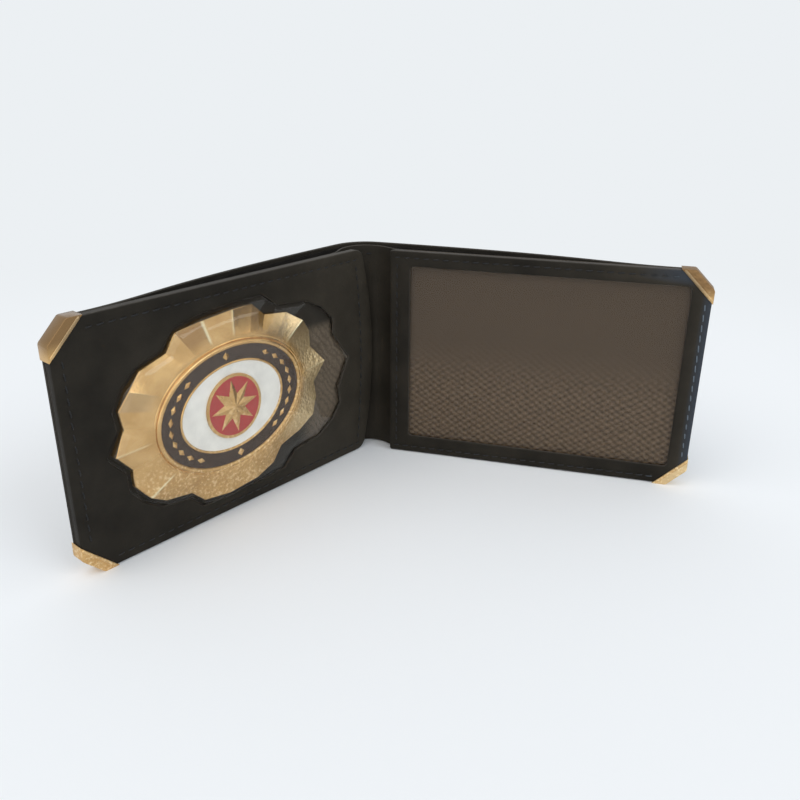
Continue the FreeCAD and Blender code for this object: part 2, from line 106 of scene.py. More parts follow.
FRAME_EDGE, FRAME_FACE, FOOT = FRAME_LOW
REACH = FRAME_HIGH[0]
HEIGHT = FRAME_HIGH[2] - FOOT
PANEL_EDGE, PANEL_FACE, _ = flat_box("badge_panel", LEFT)[0]
LEATHER_BACK = BOARD_LOW[1]
SEAT_DEPTH = BOARD_HIGH[1]
DIVIDER_FACE = DIVIDER_LOW[1]
DIVIDER_BACK = DIVIDER_HIGH[1]
COVER_SEAM_DEPTH = flat_box("cover_right", RIGHT)[0][1]
BADGE_OUT = (FIELD_LOW[0] + FIELD_HIGH[0]) / 2
BADGE_UP = (FIELD_LOW[2] + FIELD_HIGH[2]) / 2 - FOOT


def length(name, millimetres, description):
    return FloatProperty(name=name, description=description, default=millimetres * MM, unit="LENGTH")


def angle(name, degrees, description):
    return FloatProperty(name=name, description=description, default=math.radians(degrees), subtype="ANGLE")


def fraction(name, value, description):
    return FloatProperty(name=name, description=description, default=value, subtype="FACTOR",
                         min=0.0, max=1.0)


def colour(name, value, description):
    return FloatVectorProperty(name=name, description=description, default=value, size=3,
                               subtype="COLOR", min=0.0, max=1.0)


class WalletLeather(bpy.types.PropertyGroup):
    """Sizes and colours of the sewn leather, linings and thread."""
    corner_cut: length("Corner cut", 6.0, "Length cut off each outer corner, along the edge")
    cover_leather: length("Cover leather", 0.9, "Thickness of the outer cover")
    divider_leather: length("Divider leather", 0.6, "Thickness of the inner divider")
    lining: length("Lining", 0.2, "Thickness of the bill compartment's lining")
    glue_line: length("Glue line", 0.1, "Gap between the cover and its lining")
    lining_margin: length("Lining margin", 1.2, "How far the lining stops short of the cover's edges")
    turned_edge: length("Turned edge", 2.5, "Width of the leather turned back behind a panel")
    edge_roll: length("Edge roll", 0.38, "Radius of the rounded leather edges")
    divider_bend: length("Divider bend", 12.5, "Where the divider leaves the panels to reach the spine")
    gape_foot: length("Gape at the foot", 0.3, "Room between divider and lining at the sewn foot")
    gape_middle: length("Gape at mid height", 2.6, "Room between divider and lining at mid height")
    gape_top: length("Gape at the top", 4.2, "Room between divider and lining at the open top")
    gape_height: length("Gape middle height", 30.0, "Height at which the middle gape is reached")
    seam: length("Outer seam", 11.6, "Width of the flat seam at the outer edge of the cover")
    fold_rounding: length("Fold corner", 4.0, "Rounding of the badge panel's corners at the fold")
    spine_bow: length("Spine bow", 4.3, "How far the badge panel's edge bows towards the spine")
    window_spine: length("Window, spine side", 7.0, "Frame width at the spine side of the window")
    window_outer: length("Window, outer side", 6.4, "Frame width at the outer side of the window")
    window_foot: length("Window, foot", 6.5, "Frame width below the window")
    window_top: length("Window, top", 5.2, "Frame width above the window")
    window_rounding: length("Window corner", 1.2, "Rounding of the window's corners")
    stitch_pitch: length("Stitch pitch", 3.3, "Distance from stitch to stitch")
    stitch_length: length("Stitch length", 2.4, "Length of one stitch")
    thread_radius: length("Thread radius", 0.23, "Radius of the sewing thread")
    cap_leg: length("Cap leg", 10.4, "How far a corner cap runs along each edge")
    leather_colour: colour("Leather", (0.0178, 0.0152, 0.0114), "Black leather")
    worn_colour: colour("Worn edge", (0.088, 0.078, 0.067), "Leather edges rubbed paler")
    # Painted sheen: a bluish tone standing in for window light on the ID frame's edge
    painted_sheen_colour: colour("Burnished edge", (0.040, 0.047, 0.058), "Leather burnished at the ID edge")
    lining_colour: colour("Lining", (0.014, 0.0125, 0.011), "Bill compartment lining")
    pocket_colour: colour("Pocket lining", (0.112, 0.079, 0.051), "Fabric behind the card window")
    thread_colour: colour("Thread", (0.011, 0.0112, 0.012), "Sewing thread")
    # Painted sheen: a pale bluish tone standing in for light on the thread at the ID edge
    painted_sheen_thread: colour("Rubbed thread", (0.105, 0.132, 0.160), "Thread rubbed pale at the ID edge")
    suede_colour: colour("Leather back", (0.035, 0.031, 0.026), "Leather's flesh side behind the badge")
    # Painted light: the paler colour that the leather back takes where light is painted on
    painted_lit_backing_colour: colour("Faded leather back", (0.155, 0.122, 0.090), "The same where light reaches it")
    board_colour: colour("Board", (0.30, 0.27, 0.23), "Stiffening board behind the badge panel")


class WalletBadge(bpy.types.PropertyGroup):
    """Sizes and colours of the badge, its clear cover and the corner caps."""
    half_width: length("Half width", 40.3, "Half the badge's width")
    half_height: length("Half height", 29.3, "Half the badge's height")
    turn: angle("Turn", 5.0, "How far the badge's outer end is turned down")
    bezel_share: fraction("Bezel share", 0.688, "The bezel's size as a share of the badge")
    rim_share: fraction("Inner rim share", 0.490, "The inner rim's size as a share of the badge")
    plateau_margin: length("Plateau margin", 1.2, "Flat step outside the bezel")
    rim_width: length("Inner rim width", 0.8, "Width of the rim between the two enamels")
    ridge_edge: length("Ridge edge", 3.0, "Height of the badge's edge at the end of a ridge")
    valley_edge: length("Valley edge", 1.5, "Height of the badge's edge at a notch")
    plateau_height: length("Plateau height", 3.9, "Height at the inner end of the rays")
    bezel_rise: length("Bezel rise", 0.8, "How far the bezel stands above the plateau")
    rim_rise: length("Inner rim rise", 0.6, "How far the inner rim stands above the plateau")
    enamel_floor: length("Enamel floor", 3.4, "Height of the floor under the enamels")
    enamel_top: length("Enamel top", 4.1, "Height of the enamels")
    ray_scoop: length("Ray scoop", 0.06, "How deep each facet between two ridges is hollowed")
    cover_clearance: length("Cover clearance", 1.0, "Room between the badge and its clear cover")
    cover_wall: length("Cover wall", 0.4, "Thickness of the clear cover")
    spine_drift: length("Cover drift to the spine", 10.0, "How far the cover is drawn out towards the spine")
    foot_drift: length("Cover drift down", 7.0, "How far the cover is drawn down at its spine end")
    cover_flange: length("Cover flange", 1.0, "Width of the cover's flange behind the leather")
    cutout_clearance: length("Cut-out clearance", 0.2, "Gap between the clear cover and the leather")
    gilt_colour: colour("Gilt", (0.69, 0.455, 0.21), "Gilt brass of the badge and caps")
    ring_colour: colour("Ring enamel", (0.026, 0.014, 0.009), "Dark enamel ring")
    ring_gloss: colour("Ring gloss", (1.0, 0.82, 0.66), "Warm tint of the dark enamel's gloss")
    field_colour: colour("Field enamel", (0.80, 0.785, 0.735), "White enamel field")
    emblem_colour: colour("Emblem enamel", (0.40, 0.028, 0.022), "Red enamel of the roundel")


class WalletStage(bpy.types.PropertyGroup):
    """Camera, floor and light."""
    camera_place: FloatVectorProperty(name="Camera", description="Where the camera stands", size=3,
                                      default=(0.054952, -0.223367, 0.139035), subtype="TRANSLATION")
    pitch: angle("Pitch", 23.047, "How far the camera looks down")
    yaw: angle("Yaw", 14.937, "How far the camera looks to the left")
    roll: angle("Roll", 0.443, "How far the camera leans")
    lens: FloatProperty(name="Lens", description="Focal length in millimetres", default=37.41)
    floor_size: length("Floor", 6000.0, "Half width of the floor")
    floor_colour: colour("Floor", (0.870, 0.890, 0.910), "Pale floor")
    sky_colour: colour("Background", (0.838, 0.871, 0.896), "Pale background")
    seed: IntProperty(name="Seed", description="Seed of the leather's small waves", default=7)


def leather():
    return bpy.context.scene.wallet_leather


def badge():
    return bpy.context.scene.wallet_badge


# Laying points out

def place(side, out, depth, up):
    """Points of one half in the row frame, from arrays of distance out from the fold, depth behind the
    fold axis and height above the wallet's foot."""
    out, depth, up = np.broadcast_arrays(*(np.asarray(value, float) for value in (out, depth, up)))
    if side == RIGHT:
        x, y = out, depth
    else:
        x = -out * SWING_COS - depth * SWING_SIN
        y = -out * SWING_SIN + depth * SWING_COS
    return np.stack([FOLD.x + x, FOLD.y + y, FOOT + up], axis=-1)


def round_fold(turn, depth, up):
    """Points behind the fold axis, turned about it towards the badge half."""
    x, y = FOLD.x - depth * np.sin(turn), FOLD.y + depth * np.cos(turn)
    return np.stack(np.broadcast_arrays(x, y, FOOT + up), axis=-1)


def rounded_loop(corners, radii, step):
    """A closed run of points round a polygon, with arcs at its corners and points at most a step apart."""
    corners = np.asarray(corners, float)
    count = len(corners)
    radii = np.broadcast_to(radii, count)
    most_of_side = 0.45
    starts, ends, arcs = [], [], []
    for i in range(count):
        back = corners[i - 1] - corners[i]
        ahead = corners[(i + 1) % count] - corners[i]
        back_length, ahead_length = np.linalg.norm(back), np.linalg.norm(ahead)
        back, ahead = back / back_length, ahead / ahead_length
        half = math.acos(np.clip(back @ ahead, -1, 1)) / 2
        reach = min(radii[i] / math.tan(half), most_of_side * back_length, most_of_side * ahead_length)
        radius = reach * math.tan(half)
        first, last = corners[i] + back * reach, corners[i] + ahead * reach
        middle = (back + ahead) / np.linalg.norm(back + ahead)
        centre = corners[i] + middle * radius / math.sin(half)
        steps = max(2, int((math.pi - 2 * half) * radius / step) + 2)
        begin = math.atan2(*(first - centre)[::-1])
        swing = (math.atan2(*(last - centre)[::-1]) - begin + math.pi) % (2 * math.pi) - math.pi
        angles = begin + swing * np.linspace(0, 1, steps)
        arcs.append(centre + radius * np.stack([np.cos(angles), np.sin(angles)], axis=1))
        starts.append(first)
        ends.append(last)
    points = []
    for i in range(count):
        points.extend(arcs[i])
        gap = starts[(i + 1) % count] - ends[i]
        pieces = int(np.linalg.norm(gap) / step) + 1
        points.extend(ends[i] + gap * t for t in np.linspace(0, 1, pieces + 1)[1:-1])
    return np.array(points)


def cut_corners(near, far, low, high, cut):
    """A rectangle's corners, round to the left, with the two far ones cut off."""
    return [(near, low), (far - cut, low), (far, low + cut),
            (far, high - cut), (far - cut, high), (near, high)]


def loop_area(loop):
    x, y = loop[:, 0], loop[:, 1]
    return 0.5 * float(np.sum(x * np.roll(y, -1) - np.roll(x, -1) * y))


def leftwards(steps):
    """The way to the left of each step, with length 1."""
    steps = steps / np.linalg.norm(steps, axis=1, keepdims=True)
    return np.stack([-steps[:, 1], steps[:, 0]], axis=1)


def inset_loop(loop, inset):
    """Each point moved to the left of the loop's run, which is into the leather."""
    left = leftwards(np.roll(loop, -1, axis=0) - loop)
    mean = left + np.roll(left, 1, axis=0)
    mean /= np.linalg.norm(mean, axis=1, keepdims=True)
    widen = 1 / np.clip(np.sum(mean * left, axis=1), 0.6, 1)
    return loop + mean * (inset * widen)[:, None]


def inset_corners(corners, inset):
    """The corners of a convex polygon, run round to the left, moved in with its sides."""
    corners = np.asarray(corners, float)
    left = leftwards(np.roll(corners, -1, axis=0) - corners)
    before = np.roll(left, 1, axis=0)
    return corners + inset * (left + before) / (1 + np.sum(left * before, axis=1))[:, None]


def drawn_in(loop, corners):
    """Each point of a loop moved to the nearest point on a polygon inside it."""
    run = np.roll(corners, -1, axis=0) - corners
    t = np.einsum("ijk,jk->ij", loop[:, None] - corners[None], run) / np.sum(run * run, axis=1)
    near = corners[None] + np.clip(t, 0, 1)[..., None] * run[None]
    best = np.argmin(((loop[:, None] - near) ** 2).sum(-1), axis=1)
    return near[np.arange(len(loop)), best]


def distance_to_runs(points, runs):
    """Shortest distance from each point to a set of open or closed runs of points."""
    at_once = 2000
    best = np.full(len(points), 1e9)
    for run in runs:
        a, d = run[:-1], np.diff(run, axis=0)
        square = np.maximum(np.sum(d * d, axis=1), 1e-18)
        for start in range(0, len(points), at_once):
            part = slice(start, start + at_once)
            p = points[part]
            t = np.clip(np.einsum("ijk,jk->ij", p[:, None] - a[None], d) / square, 0, 1)
            gap = p[:, None] - (a[None] + t[..., None] * d[None])
            best[part] = np.minimum(best[part], np.sqrt((gap ** 2).sum(-1)).min(1))
    return best


def inside_loop(points, loop):
    """True for each point inside a closed loop."""
    x, y = points[:, 0][:, None], points[:, 1][:, None]
    x0, y0 = loop[:, 0], loop[:, 1]
    x1, y1 = np.roll(x0, -1), np.roll(y0, -1)
    crosses = (y0 > y) != (y1 > y)
    with np.errstate(divide="ignore", invalid="ignore"):
        where = x0 + (y - y0) * (x1 - x0) / (y1 - y0)
    return (np.sum(crosses & (x < where), axis=1) % 2) == 1


def closed(loop):
    return np.vstack([loop, loop[:1]])


def fading(distance, full, width):
    """1 up to a full distance, fading to 0 over a width beyond it."""
    return np.clip(1 + (full - distance) / width, 0, 1)


def spaced(run, step):
    """Points along an open run, a step apart."""
    gaps = np.linalg.norm(np.diff(run, axis=0), axis=1)
    along = np.concatenate([[0], np.cumsum(gaps)])
    wanted = np.linspace(0, along[-1], max(2, int(along[-1] / step) + 1))
    return np.stack([np.interp(wanted, along, run[:, i]) for i in range(run.shape[1])], axis=1)


# Making pieces

def mark(mesh, attributes):
    """Writes one number per point under each name."""
    for name, values in attributes.items():
        mesh.attributes.new(name, "FLOAT", "POINT").data.foreach_set("value", np.asarray(values, np.float32))


def shown(name, mesh):
    """A smooth-shaded object at the origin."""
    mesh.polygons.foreach_set("use_smooth", [True] * len(mesh.polygons))
    obj = bpy.data.objects.new(name, mesh)
    bpy.context.scene.collection.objects.link(obj)
    return obj


def piece(name, points, faces, material, smooth_angle=40.0, attributes=None, uvs=None):
    """A finished mesh object at the origin, with its faces turned outwards."""
    mesh = bpy.data.meshes.new(name)
    mesh.from_pydata([tuple(p) for p in points], [], [tuple(int(i) for i in f) for f in faces])
    mark(mesh, attributes or {})
    if uvs is not None:
        layer = mesh.uv_layers.new(name="Along")
        vertex_of = np.zeros(len(mesh.loops), np.int32)
        mesh.loops.foreach_get("vertex_index", vertex_of)
        layer.data.foreach_set("uv", np.asarray(uvs, np.float32)[vertex_of].ravel())
    work = bmesh.new()
    work.from_mesh(mesh)
    bmesh.ops.remove_doubles(work, verts=work.verts, dist=1e-7)
    bmesh.ops.recalc_face_normals(work, faces=work.faces)
    work.to_mesh(mesh)
    work.free()
    mesh.materials.append(material)
    obj = shown(name, mesh)
    mesh.set_sharp_from_angle(angle=math.radians(smooth_angle))
    return obj


def mount(obj, body, slot, *nodes):
    """Fixes a piece to its body, in place of CAD nodes where any are named. The slot is not used."""
    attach(obj, body)
    if nodes:
        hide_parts(*nodes)


def dress(material, *nodes):
    """Gives CAD nodes a finish."""
    for node in nodes:
        materials = frame["nodes"][node].data.materials
        materials.clear()
        materials.append(material)


def ring_faces(first, second, count):
    """Quads between two rings of points, given by the index of each ring's first point."""
    return [(first + i, first + (i + 1) % count, second + (i + 1) % count, second + i) for i in range(count)]


def stacked(rings, count, first=0, ends=True):
    """Quads up a stack of rings of points, and the faces that close its two ends."""
    starts = [first + i * count for i in range(rings)]
    faces = [quad for low, high in zip(starts, starts[1:]) for quad in ring_faces(low, high, count)]
    if ends:
        faces += [tuple(range(start, start + count)) for start in (starts[0], starts[-1])]
    return faces


def filled(rings, inner_points):
    """Triangles that fill the space between an outer ring and its holes, using loose inner points too.
    Gives index triples into the rings' points followed by the inner points."""
    edges, start = [], 0
    for ring in rings:
        count = len(ring)
        edges += [(start + i, start + (i + 1) % count) for i in range(count)]
        start += count
    points = [Vector(p) for p in np.vstack([*rings, inner_points])]
    made, _, faces, origins, _, _ = delaunay_2d_cdt(points, edges, [], 1, 1e-9)
    source = [o[0] if o else -1 for o in origins]
    middles = np.array([np.mean([made[i][:] for i in f], axis=0) for f in faces])
    keep = np.ones(len(faces), bool)
    for hole in rings[1:]:
        keep &= ~inside_loop(middles, hole)
    return [tuple(source[i] for i in f) for f, kept in zip(faces, keep) if kept]


EDGE_STEP = 0.9 * MM
STITCH_CLEARANCE = 1.3 * MM
HEM_WEAR = 0.7
UNWORN_EDGE = 1.5 * MM
BESIDE_STITCHES = np.array([-0.8, -0.4, 0.0, 0.4, 0.8]) * MM


def sewn_panel(name, side, corners, radii, hole, depths, turned_end, stitches, relief, cell, painted_light,
               bend=np.copy):
    """A leather panel round a hole: softly rolled edges, a turned rim behind its outer edge, and a face
    that follows a relief. corners run round to the left; depths is its (face, back); turned_end gives how
    far back the rim reaches at each point; stitches are the runs that the thread pulls in; painted_light
    says how far each point is paled as painted light, up to 1, and given a painted bluish sheen, from there
    to 2; bend moves the laid-out points."""
    face, back = depths
    roll, turned = leather().edge_roll, leather().turned_edge
    low_roll = 0.5 * roll
    turns = np.radians(np.linspace(0, 90, 5))
    points, faces, wear, pale = [], [], [], []
    fronts, backs, total = [], [], 0
    for loop in (rounded_loop(corners, radii, EDGE_STEP), hole if loop_area(hole) < 0 else hole[::-1]):
        outer = not fronts
        end = turned_end(loop) if outer else np.full(len(loop), back)
        rings = [(roll * (1 - math.sin(t)), face + roll * (1 - math.cos(t)), t) for t in turns]
        rings += [(low_roll * (1 - math.cos(t)), end - low_roll * (1 - math.sin(t)), None) for t in turns]
        if outer:
            rings += [(turned, end, None), (turned, back, None)]
        flats = []
        for inset, depth, turn in rings:
            flat = inset_loop(loop, inset)
            if inset == turned:
                flat = drawn_in(loop, inset_corners(corners, inset))
            flats.append(flat)
            rubbed = HEM_WEAR
            if turn is not None:
                depth = depth - relief(flat) * math.cos(turn)
                rubbed = math.sin(turn)
            laid = bend(flat)
            points.append(place(side, laid[:, 0], depth, laid[:, 1]))
            wear.append(np.where(flat[:, 0] > REACH - UNWORN_EDGE, 0.0, rubbed))
            # Painted light: how far the colour here is paled, and past 1 given a painted bluish sheen
            pale.append(painted_light(flat))
        faces += stacked(len(rings), len(loop), total, ends=False)
        fronts.append((total, flats[0]))
        backs.append((total + (len(rings) - 1) * len(loop), flats[-1]))
        total += len(rings) * len(loop)

    rims = [ring for _, ring in fronts]
    low, high = rims[0].min(0), rims[0].max(0)
    columns, rows = (np.arange(low[i] + cell / 2, high[i], cell) for i in (0, 1))
    grid = np.stack(np.meshgrid(columns, rows), axis=-1)
    grid[1::2, :, 0] += cell / 2
    grid = grid.reshape(-1, 2)
    inner = [grid[distance_to_runs(grid, stitches) > STITCH_CLEARANCE]]
    for run in stitches:
        along = spaced(run, 0.7 * cell)
        across = leftwards(np.gradient(along, axis=0))
        inner += [along + across * shift for shift in BESIDE_STITCHES]
    inner = np.vstack(inner)
    inside = inside_loop(inner, rims[0]) & ~inside_loop(inner, rims[1])
    inner = inner[inside & (distance_to_runs(inner, [closed(ring) for ring in rims]) > 0.35 * cell)]
    laid = bend(inner)
    points.append(place(side, laid[:, 0], face - relief(inner), laid[:, 1]))
    wear.append(np.zeros(len(inner)))
    pale.append(painted_light(inner))
    for ends, loose in ((fronts, inner), (backs, np.zeros((0, 2)))):
        index = [start + np.arange(len(ring)) for start, ring in ends] + [total + np.arange(len(loose))]
        index = np.concatenate(index)
        faces += [tuple(index[list(f)]) for f in filled([ring for _, ring in ends], loose)]
    return piece(name, np.vstack(points), faces, black_leather(), 50.0,
                 {"wear": np.concatenate(wear), "painted_light": np.concatenate(pale)})


def softened_copy(name, node, material, width):
    """A copy of a CAD node with its flat faces joined up and its edges rounded."""
    mesh = frame["nodes"][node].data.copy()
    mesh.name = name
    work = bmesh.new()
    work.from_mesh(mesh)
    bmesh.ops.remove_doubles(work, verts=work.verts, dist=1e-6)
    bmesh.ops.dissolve_limit(work, angle_limit=math.radians(2.0), verts=work.verts, edges=work.edges)
    work.to_mesh(mesh)
    work.free()
    mesh.materials.clear()
    mesh.materials.append(material)
    obj = shown(name, mesh)
    bevel = obj.modifiers.new("soft edges", "BEVEL")
    bevel.width = width
    bevel.segments = 3
    bevel.limit_method = "ANGLE"
    bevel.angle_limit = math.radians(30.0)
    bevel.harden_normals = True
    return obj


# Finishes

class Nodes:
    """Short calls that add nodes to a tree. An input is linked to a socket, and set to any other value."""

    def __init__(self, tree):
        self.tree = tree

    def feed(self, node, inputs):
        for key, value in inputs.items():
            socket = node.inputs[key]
            if isinstance(value, bpy.types.NodeSocket):
                self.tree.links.new(value, socket)
            else:
                socket.default_value = (*value, 1.0) if socket.type == "RGBA" else value

    def add(self, kind, inputs=None, **settings):
        """A new node's outputs."""
        node = self.tree.nodes.new(kind)
        for key, value in settings.items():
            setattr(node, key, value)
        self.feed(node, inputs or {})
        return node.outputs

    def maths(self, operation, *values):
        return self.add("ShaderNodeMath", dict(enumerate(values)), operation=operation)[0]

    def overlay(self, share, under, over, output):
        """Mixes two shaders and shows the result."""
        both = self.add("ShaderNodeMixShader", {"Fac": share, 1: under, 2: over})["Shader"]
        self.feed(self.tree.nodes[output], {"Surface": both})


def toned(base, shares, most=1.0):
    """A colour with each channel multiplied, up to a limit."""
    return [min(most, channel * share) for channel, share in zip(base, np.broadcast_to(shares, 3).tolist())]


def wave_scale(pitch):
    """The scale at which a wave texture repeats at a pitch."""
    return math.tau / (20 * pitch)


class Finish(Nodes):
    """A new material with one Principled shader, and calls for the textures and masks that feed it."""

    def __init__(self, name, base, roughness, specular, space="Object"):
        self.material = bpy.data.materials.new(name)
        self.material.use_nodes = True
        super().__init__(self.material.node_tree)
        self.shader = self.tree.nodes["Principled BSDF"]
        self.where = self.add("ShaderNodeTexCoord")[space]
        self.made({"Base Color": base, "Roughness": roughness, "Specular IOR Level": specular})

    def made(self, inputs):
        self.feed(self.shader, inputs)
        return self.material

    def noise(self, scale, detail, roughness=0.5):
        inputs = {"Vector": self.where, "Scale": scale, "Detail": detail, "Roughness": roughness}
        return self.add("ShaderNodeTexNoise", inputs)["Fac"]

    def pebbles(self, scale, smoothness):
        inputs = {"Vector": self.where, "Scale": scale, "Smoothness": smoothness}
        return self.add("ShaderNodeTexVoronoi", inputs, feature="SMOOTH_F1")["Distance"]

    def wave(self, scale, distortion, direction, detail=2.0):
        inputs = {"Vector": self.where, "Scale": scale, "Distortion": distortion, "Detail": detail}
        return self.add("ShaderNodeTexWave", inputs, bands_direction=direction)["Fac"]

    def attribute(self, name):
        return self.add("ShaderNodeAttribute", attribute_name=name)["Fac"]

    def axis(self, letter):
        return self.add("ShaderNodeSeparateXYZ", {0: self.where})[letter]

    def along(self, way):
        return self.add("ShaderNodeVectorMath", {0: self.where, 1: way}, operation="DOT_PRODUCT")["Value"]

    def share(self, value, low, high, to=(0.0, 1.0), kind="LINEAR"):
        """How far a value lies from low to high, spread over another range."""
        inputs = {"Value": value, "From Min": low, "From Max": high, "To Min": to[0], "To Max": to[1]}
        return self.add("ShaderNodeMapRange", inputs, interpolation_type=kind)["Result"]

    def smooth_share(self, value, low, high):
        return self.share(value, low, high, kind="SMOOTHSTEP")

    def mix(self, share, first, second):
        return self.add("ShaderNodeMix", {"Factor": share, 6: first, 7: second}, data_type="RGBA")[2]

    def ramp(self, value, ends, base, shares):
        """The base colour times the first share at the low end, and times the second at the high end."""
        node = self.tree.nodes.new("ShaderNodeValToRGB")
        self.feed(node, {"Fac": value})
        for element, position, tone in zip(node.color_ramp.elements, ends, shares):
            element.position = position
            element.color = (*toned(base, tone), 1.0)
        return node.outputs["Color"]

    def bump(self, height, strength, distance, **under):
        inputs = {"Height": height, "Strength": strength, "Distance": distance, **under}
        return self.add("ShaderNodeBump", inputs)["Normal"]


def leather_finish(name, base, worn, painted_sheen):
    """Black leather: a fine pebbled grain and cloudy colour, paler as painted light where the mesh says so,
    with a painted bluish sheen where it says so, and paler still on rubbed edges."""
    grain = 1500.0
    look = Finish(name, base, 0.5, 0.10)
    creases = look.noise(0.42 * grain, 4.0, 0.6)
    clouds = look.noise(75.0, 3.0, 0.55)
    # The attribute read next pales the colour as painted light up to 1 and adds a painted bluish sheen from
    # 1 to 2
    painted_light = look.attribute("painted_light")
    shade, painted_lit = (look.ramp(clouds, (0.30, 0.72), base, shares) for shares in ((0.72, 1.32), (1.40, 2.15)))
    tone = look.mix(painted_light, shade, painted_lit)
    # Painted bluish sheen where the attribute runs from 1 to 2
    tone = look.mix(look.share(painted_light, 1.0, 2.0), tone, painted_sheen)
    rubbed = look.maths("MULTIPLY", look.share(look.attribute("wear"), 0.35, 1.0), creases)
    height = look.maths("MULTIPLY_ADD", look.pebbles(grain, 0.7), 0.55, creases)
    return look.made({"Base Color": look.mix(rubbed, tone, worn),
                      "Normal": look.bump(height, 0.55, 0.12 * MM),
                      "Roughness": look.share(creases, 0.0, 1.0, (0.44, 0.62))})


def woven_finish(name, base, pitches, contrast, depth, clear_to=None):
    """Plain-woven cloth on the piece's own run and height: two sets of threads over and under. Where a
    height is given, the weave fades out above it into a flat, darker colour."""
    look = Finish(name, base, 0.85, 0.12, "UV")
    threads = []
    for direction, pitch in zip("XY", pitches):
        threads.append(look.maths("SUBTRACT", look.wave(wave_scale(pitch), 1.8, direction, 1.0), 0.5))
    weave = look.maths("MULTIPLY_ADD", look.maths("MULTIPLY", *threads), 1.5, look.noise(620.0, 2.0))
    tone = look.ramp(weave, (0.12, 0.88), base, (1 - contrast, 1 + contrast))
    strength = 0.6
    if clear_to:
        strength = look.smooth_share(look.axis("Y"), 1.35 * clear_to, 0.65 * clear_to)
        tone = look.mix(strength, toned(base, 0.68), tone)
    return look.made({"Base Color": tone, "Normal": look.bump(weave, strength, depth)})


def gilt_finish(name, base):
    """Gilt brass: smooth on the outer side of the badge, hammered to satin lower down and towards the
    spine, with pale and dark flecks there painted on as a speckled reflection, painted shade near the top,
    and painted highlights and painted shade on facets where the mesh says so."""
    gloss = 0.24
    look = Finish(name, base, gloss, 0.5)
    slope = look.along((0.45 * SWING_COS, 0.45 * SWING_SIN, -1.0))
    satin = look.smooth_share(slope, -0.062, -0.044)
    flecks = look.noise(1000.0, 2.0, 0.6)
    # Painted speckled reflection: pale and dark flecks in the colour where the metal is hammered
    bright = look.maths("MULTIPLY", look.share(flecks, 0.53, 0.64), satin)
    dark = look.maths("MULTIPLY", look.share(flecks, 0.46, 0.36), satin)
    # Painted shade: the colour is darkened near the top of the wallet, on the upper caps and the badge's top
    high = look.smooth_share(look.axis("Z"), FOOT + 0.86 * HEIGHT, FOOT + 0.94 * HEIGHT)
    tarnish = look.noise(140.0, 4.0, 0.6)
    tone = look.ramp(tarnish, (0.32, 0.68), base, ((0.84, 0.77, 0.64), (1.06, 1.05, 1.0)))
    # The last two mixes are painted shade on facets and painted highlights on ridges, caps and beads, read
    # from mesh attributes
    for share, shades in ((bright, (1.24, 1.40, 1.70)), (dark, (0.86, 0.80, 0.72)),
                          (high, (0.36, 0.325, 0.31)), (look.attribute("painted_facet_shade"), (0.52, 0.45, 0.42)),
                          (look.attribute("ridge"), (1.44, 1.95, 2.9))):
        tone = look.mix(share, tone, toned(base, shades, 0.96))
    dimpled = look.bump(look.noise(420.0, 3.0, 0.55), 0.30, 0.12 * MM)
    struck = look.share(satin, 0.0, 1.0, (0.03, 0.60))
    hammered = look.bump(look.pebbles(900.0, 0.25), struck, 0.35 * MM, Normal=dimpled)
    return look.made({"Base Color": tone, "Metallic": 0.88, "Normal": hammered,
                      "Roughness": look.share(satin, 0.0, 1.0, (gloss, 2 * gloss))})


def enamel_finish(name, base, gloss=(1.0, 1.0, 1.0)):
    """Fired enamel: glossy, with a faint orange-peel surface and cloudy depth."""
    look = Finish(name, base, 0.14, 0.5)
    tone = look.ramp(look.noise(190.0, 3.0), (0.3, 0.7), base, (0.90, 1.08))
    return look.made({"Base Color": tone, "Normal": look.bump(look.noise(330.0, 2.0), 0.12, 0.15 * MM),
                      "Specular Tint": gloss, "Coat Tint": gloss, "Coat Weight": 0.4,
                      "Coat Roughness": 0.05})


def clear_finish(name, tint, least, most, gloss):
    """Clear plastic that lets light through and mirrors more at a glancing angle."""
    look = Finish(name, tint, gloss, 0.6)
    ripple = look.bump(look.noise(55.0, 2.0), 0.10, 0.5 * MM)
    look.made({"Metallic": 1.0, "Normal": ripple})
    facing = look.add("ShaderNodeLayerWeight", {"Blend": 0.5, "Normal": ripple})["Facing"]
    mirrored = look.share(look.maths("POWER", facing, 5.0), 0.0, 1.0, (least, most))
    through = look.add("ShaderNodeBsdfTransparent", {"Color": tint})["BSDF"]
    look.overlay(mirrored, through, look.shader.outputs["BSDF"], "Material Output")
    return look.material


def thread_finish(name, base, rubbed):
    """Waxed thread with a faint twist, with a pale bluish sheen painted along the outer edge of the ID half.
    """
    look = Finish(name, base, 0.42, 0.30)
    twist = look.wave(900.0, 1.5, "DIAGONAL")
    edge = FOLD.x + REACH
    # Painted sheen: the thread turns pale and bluish near the ID half's outer edge
    outer = look.smooth_share(look.axis("X"), edge - 16 * MM, edge - 4 * MM)
    tone = look.mix(outer, look.ramp(twist, (0.0, 1.0), base, (0.6, 1.5)), rubbed)
    return look.made({"Base Color": tone, "Normal": look.bump(twist, 0.5, 0.08 * MM)})


def board_finish(name, base):
    """Grey board with fibres."""
    look = Finish(name, base, 0.9, 0.1)
    return look.made({"Base Color": look.ramp(look.noise(1300.0, 5.0, 0.7), (0.3, 0.7), base, (0.75, 1.2))})


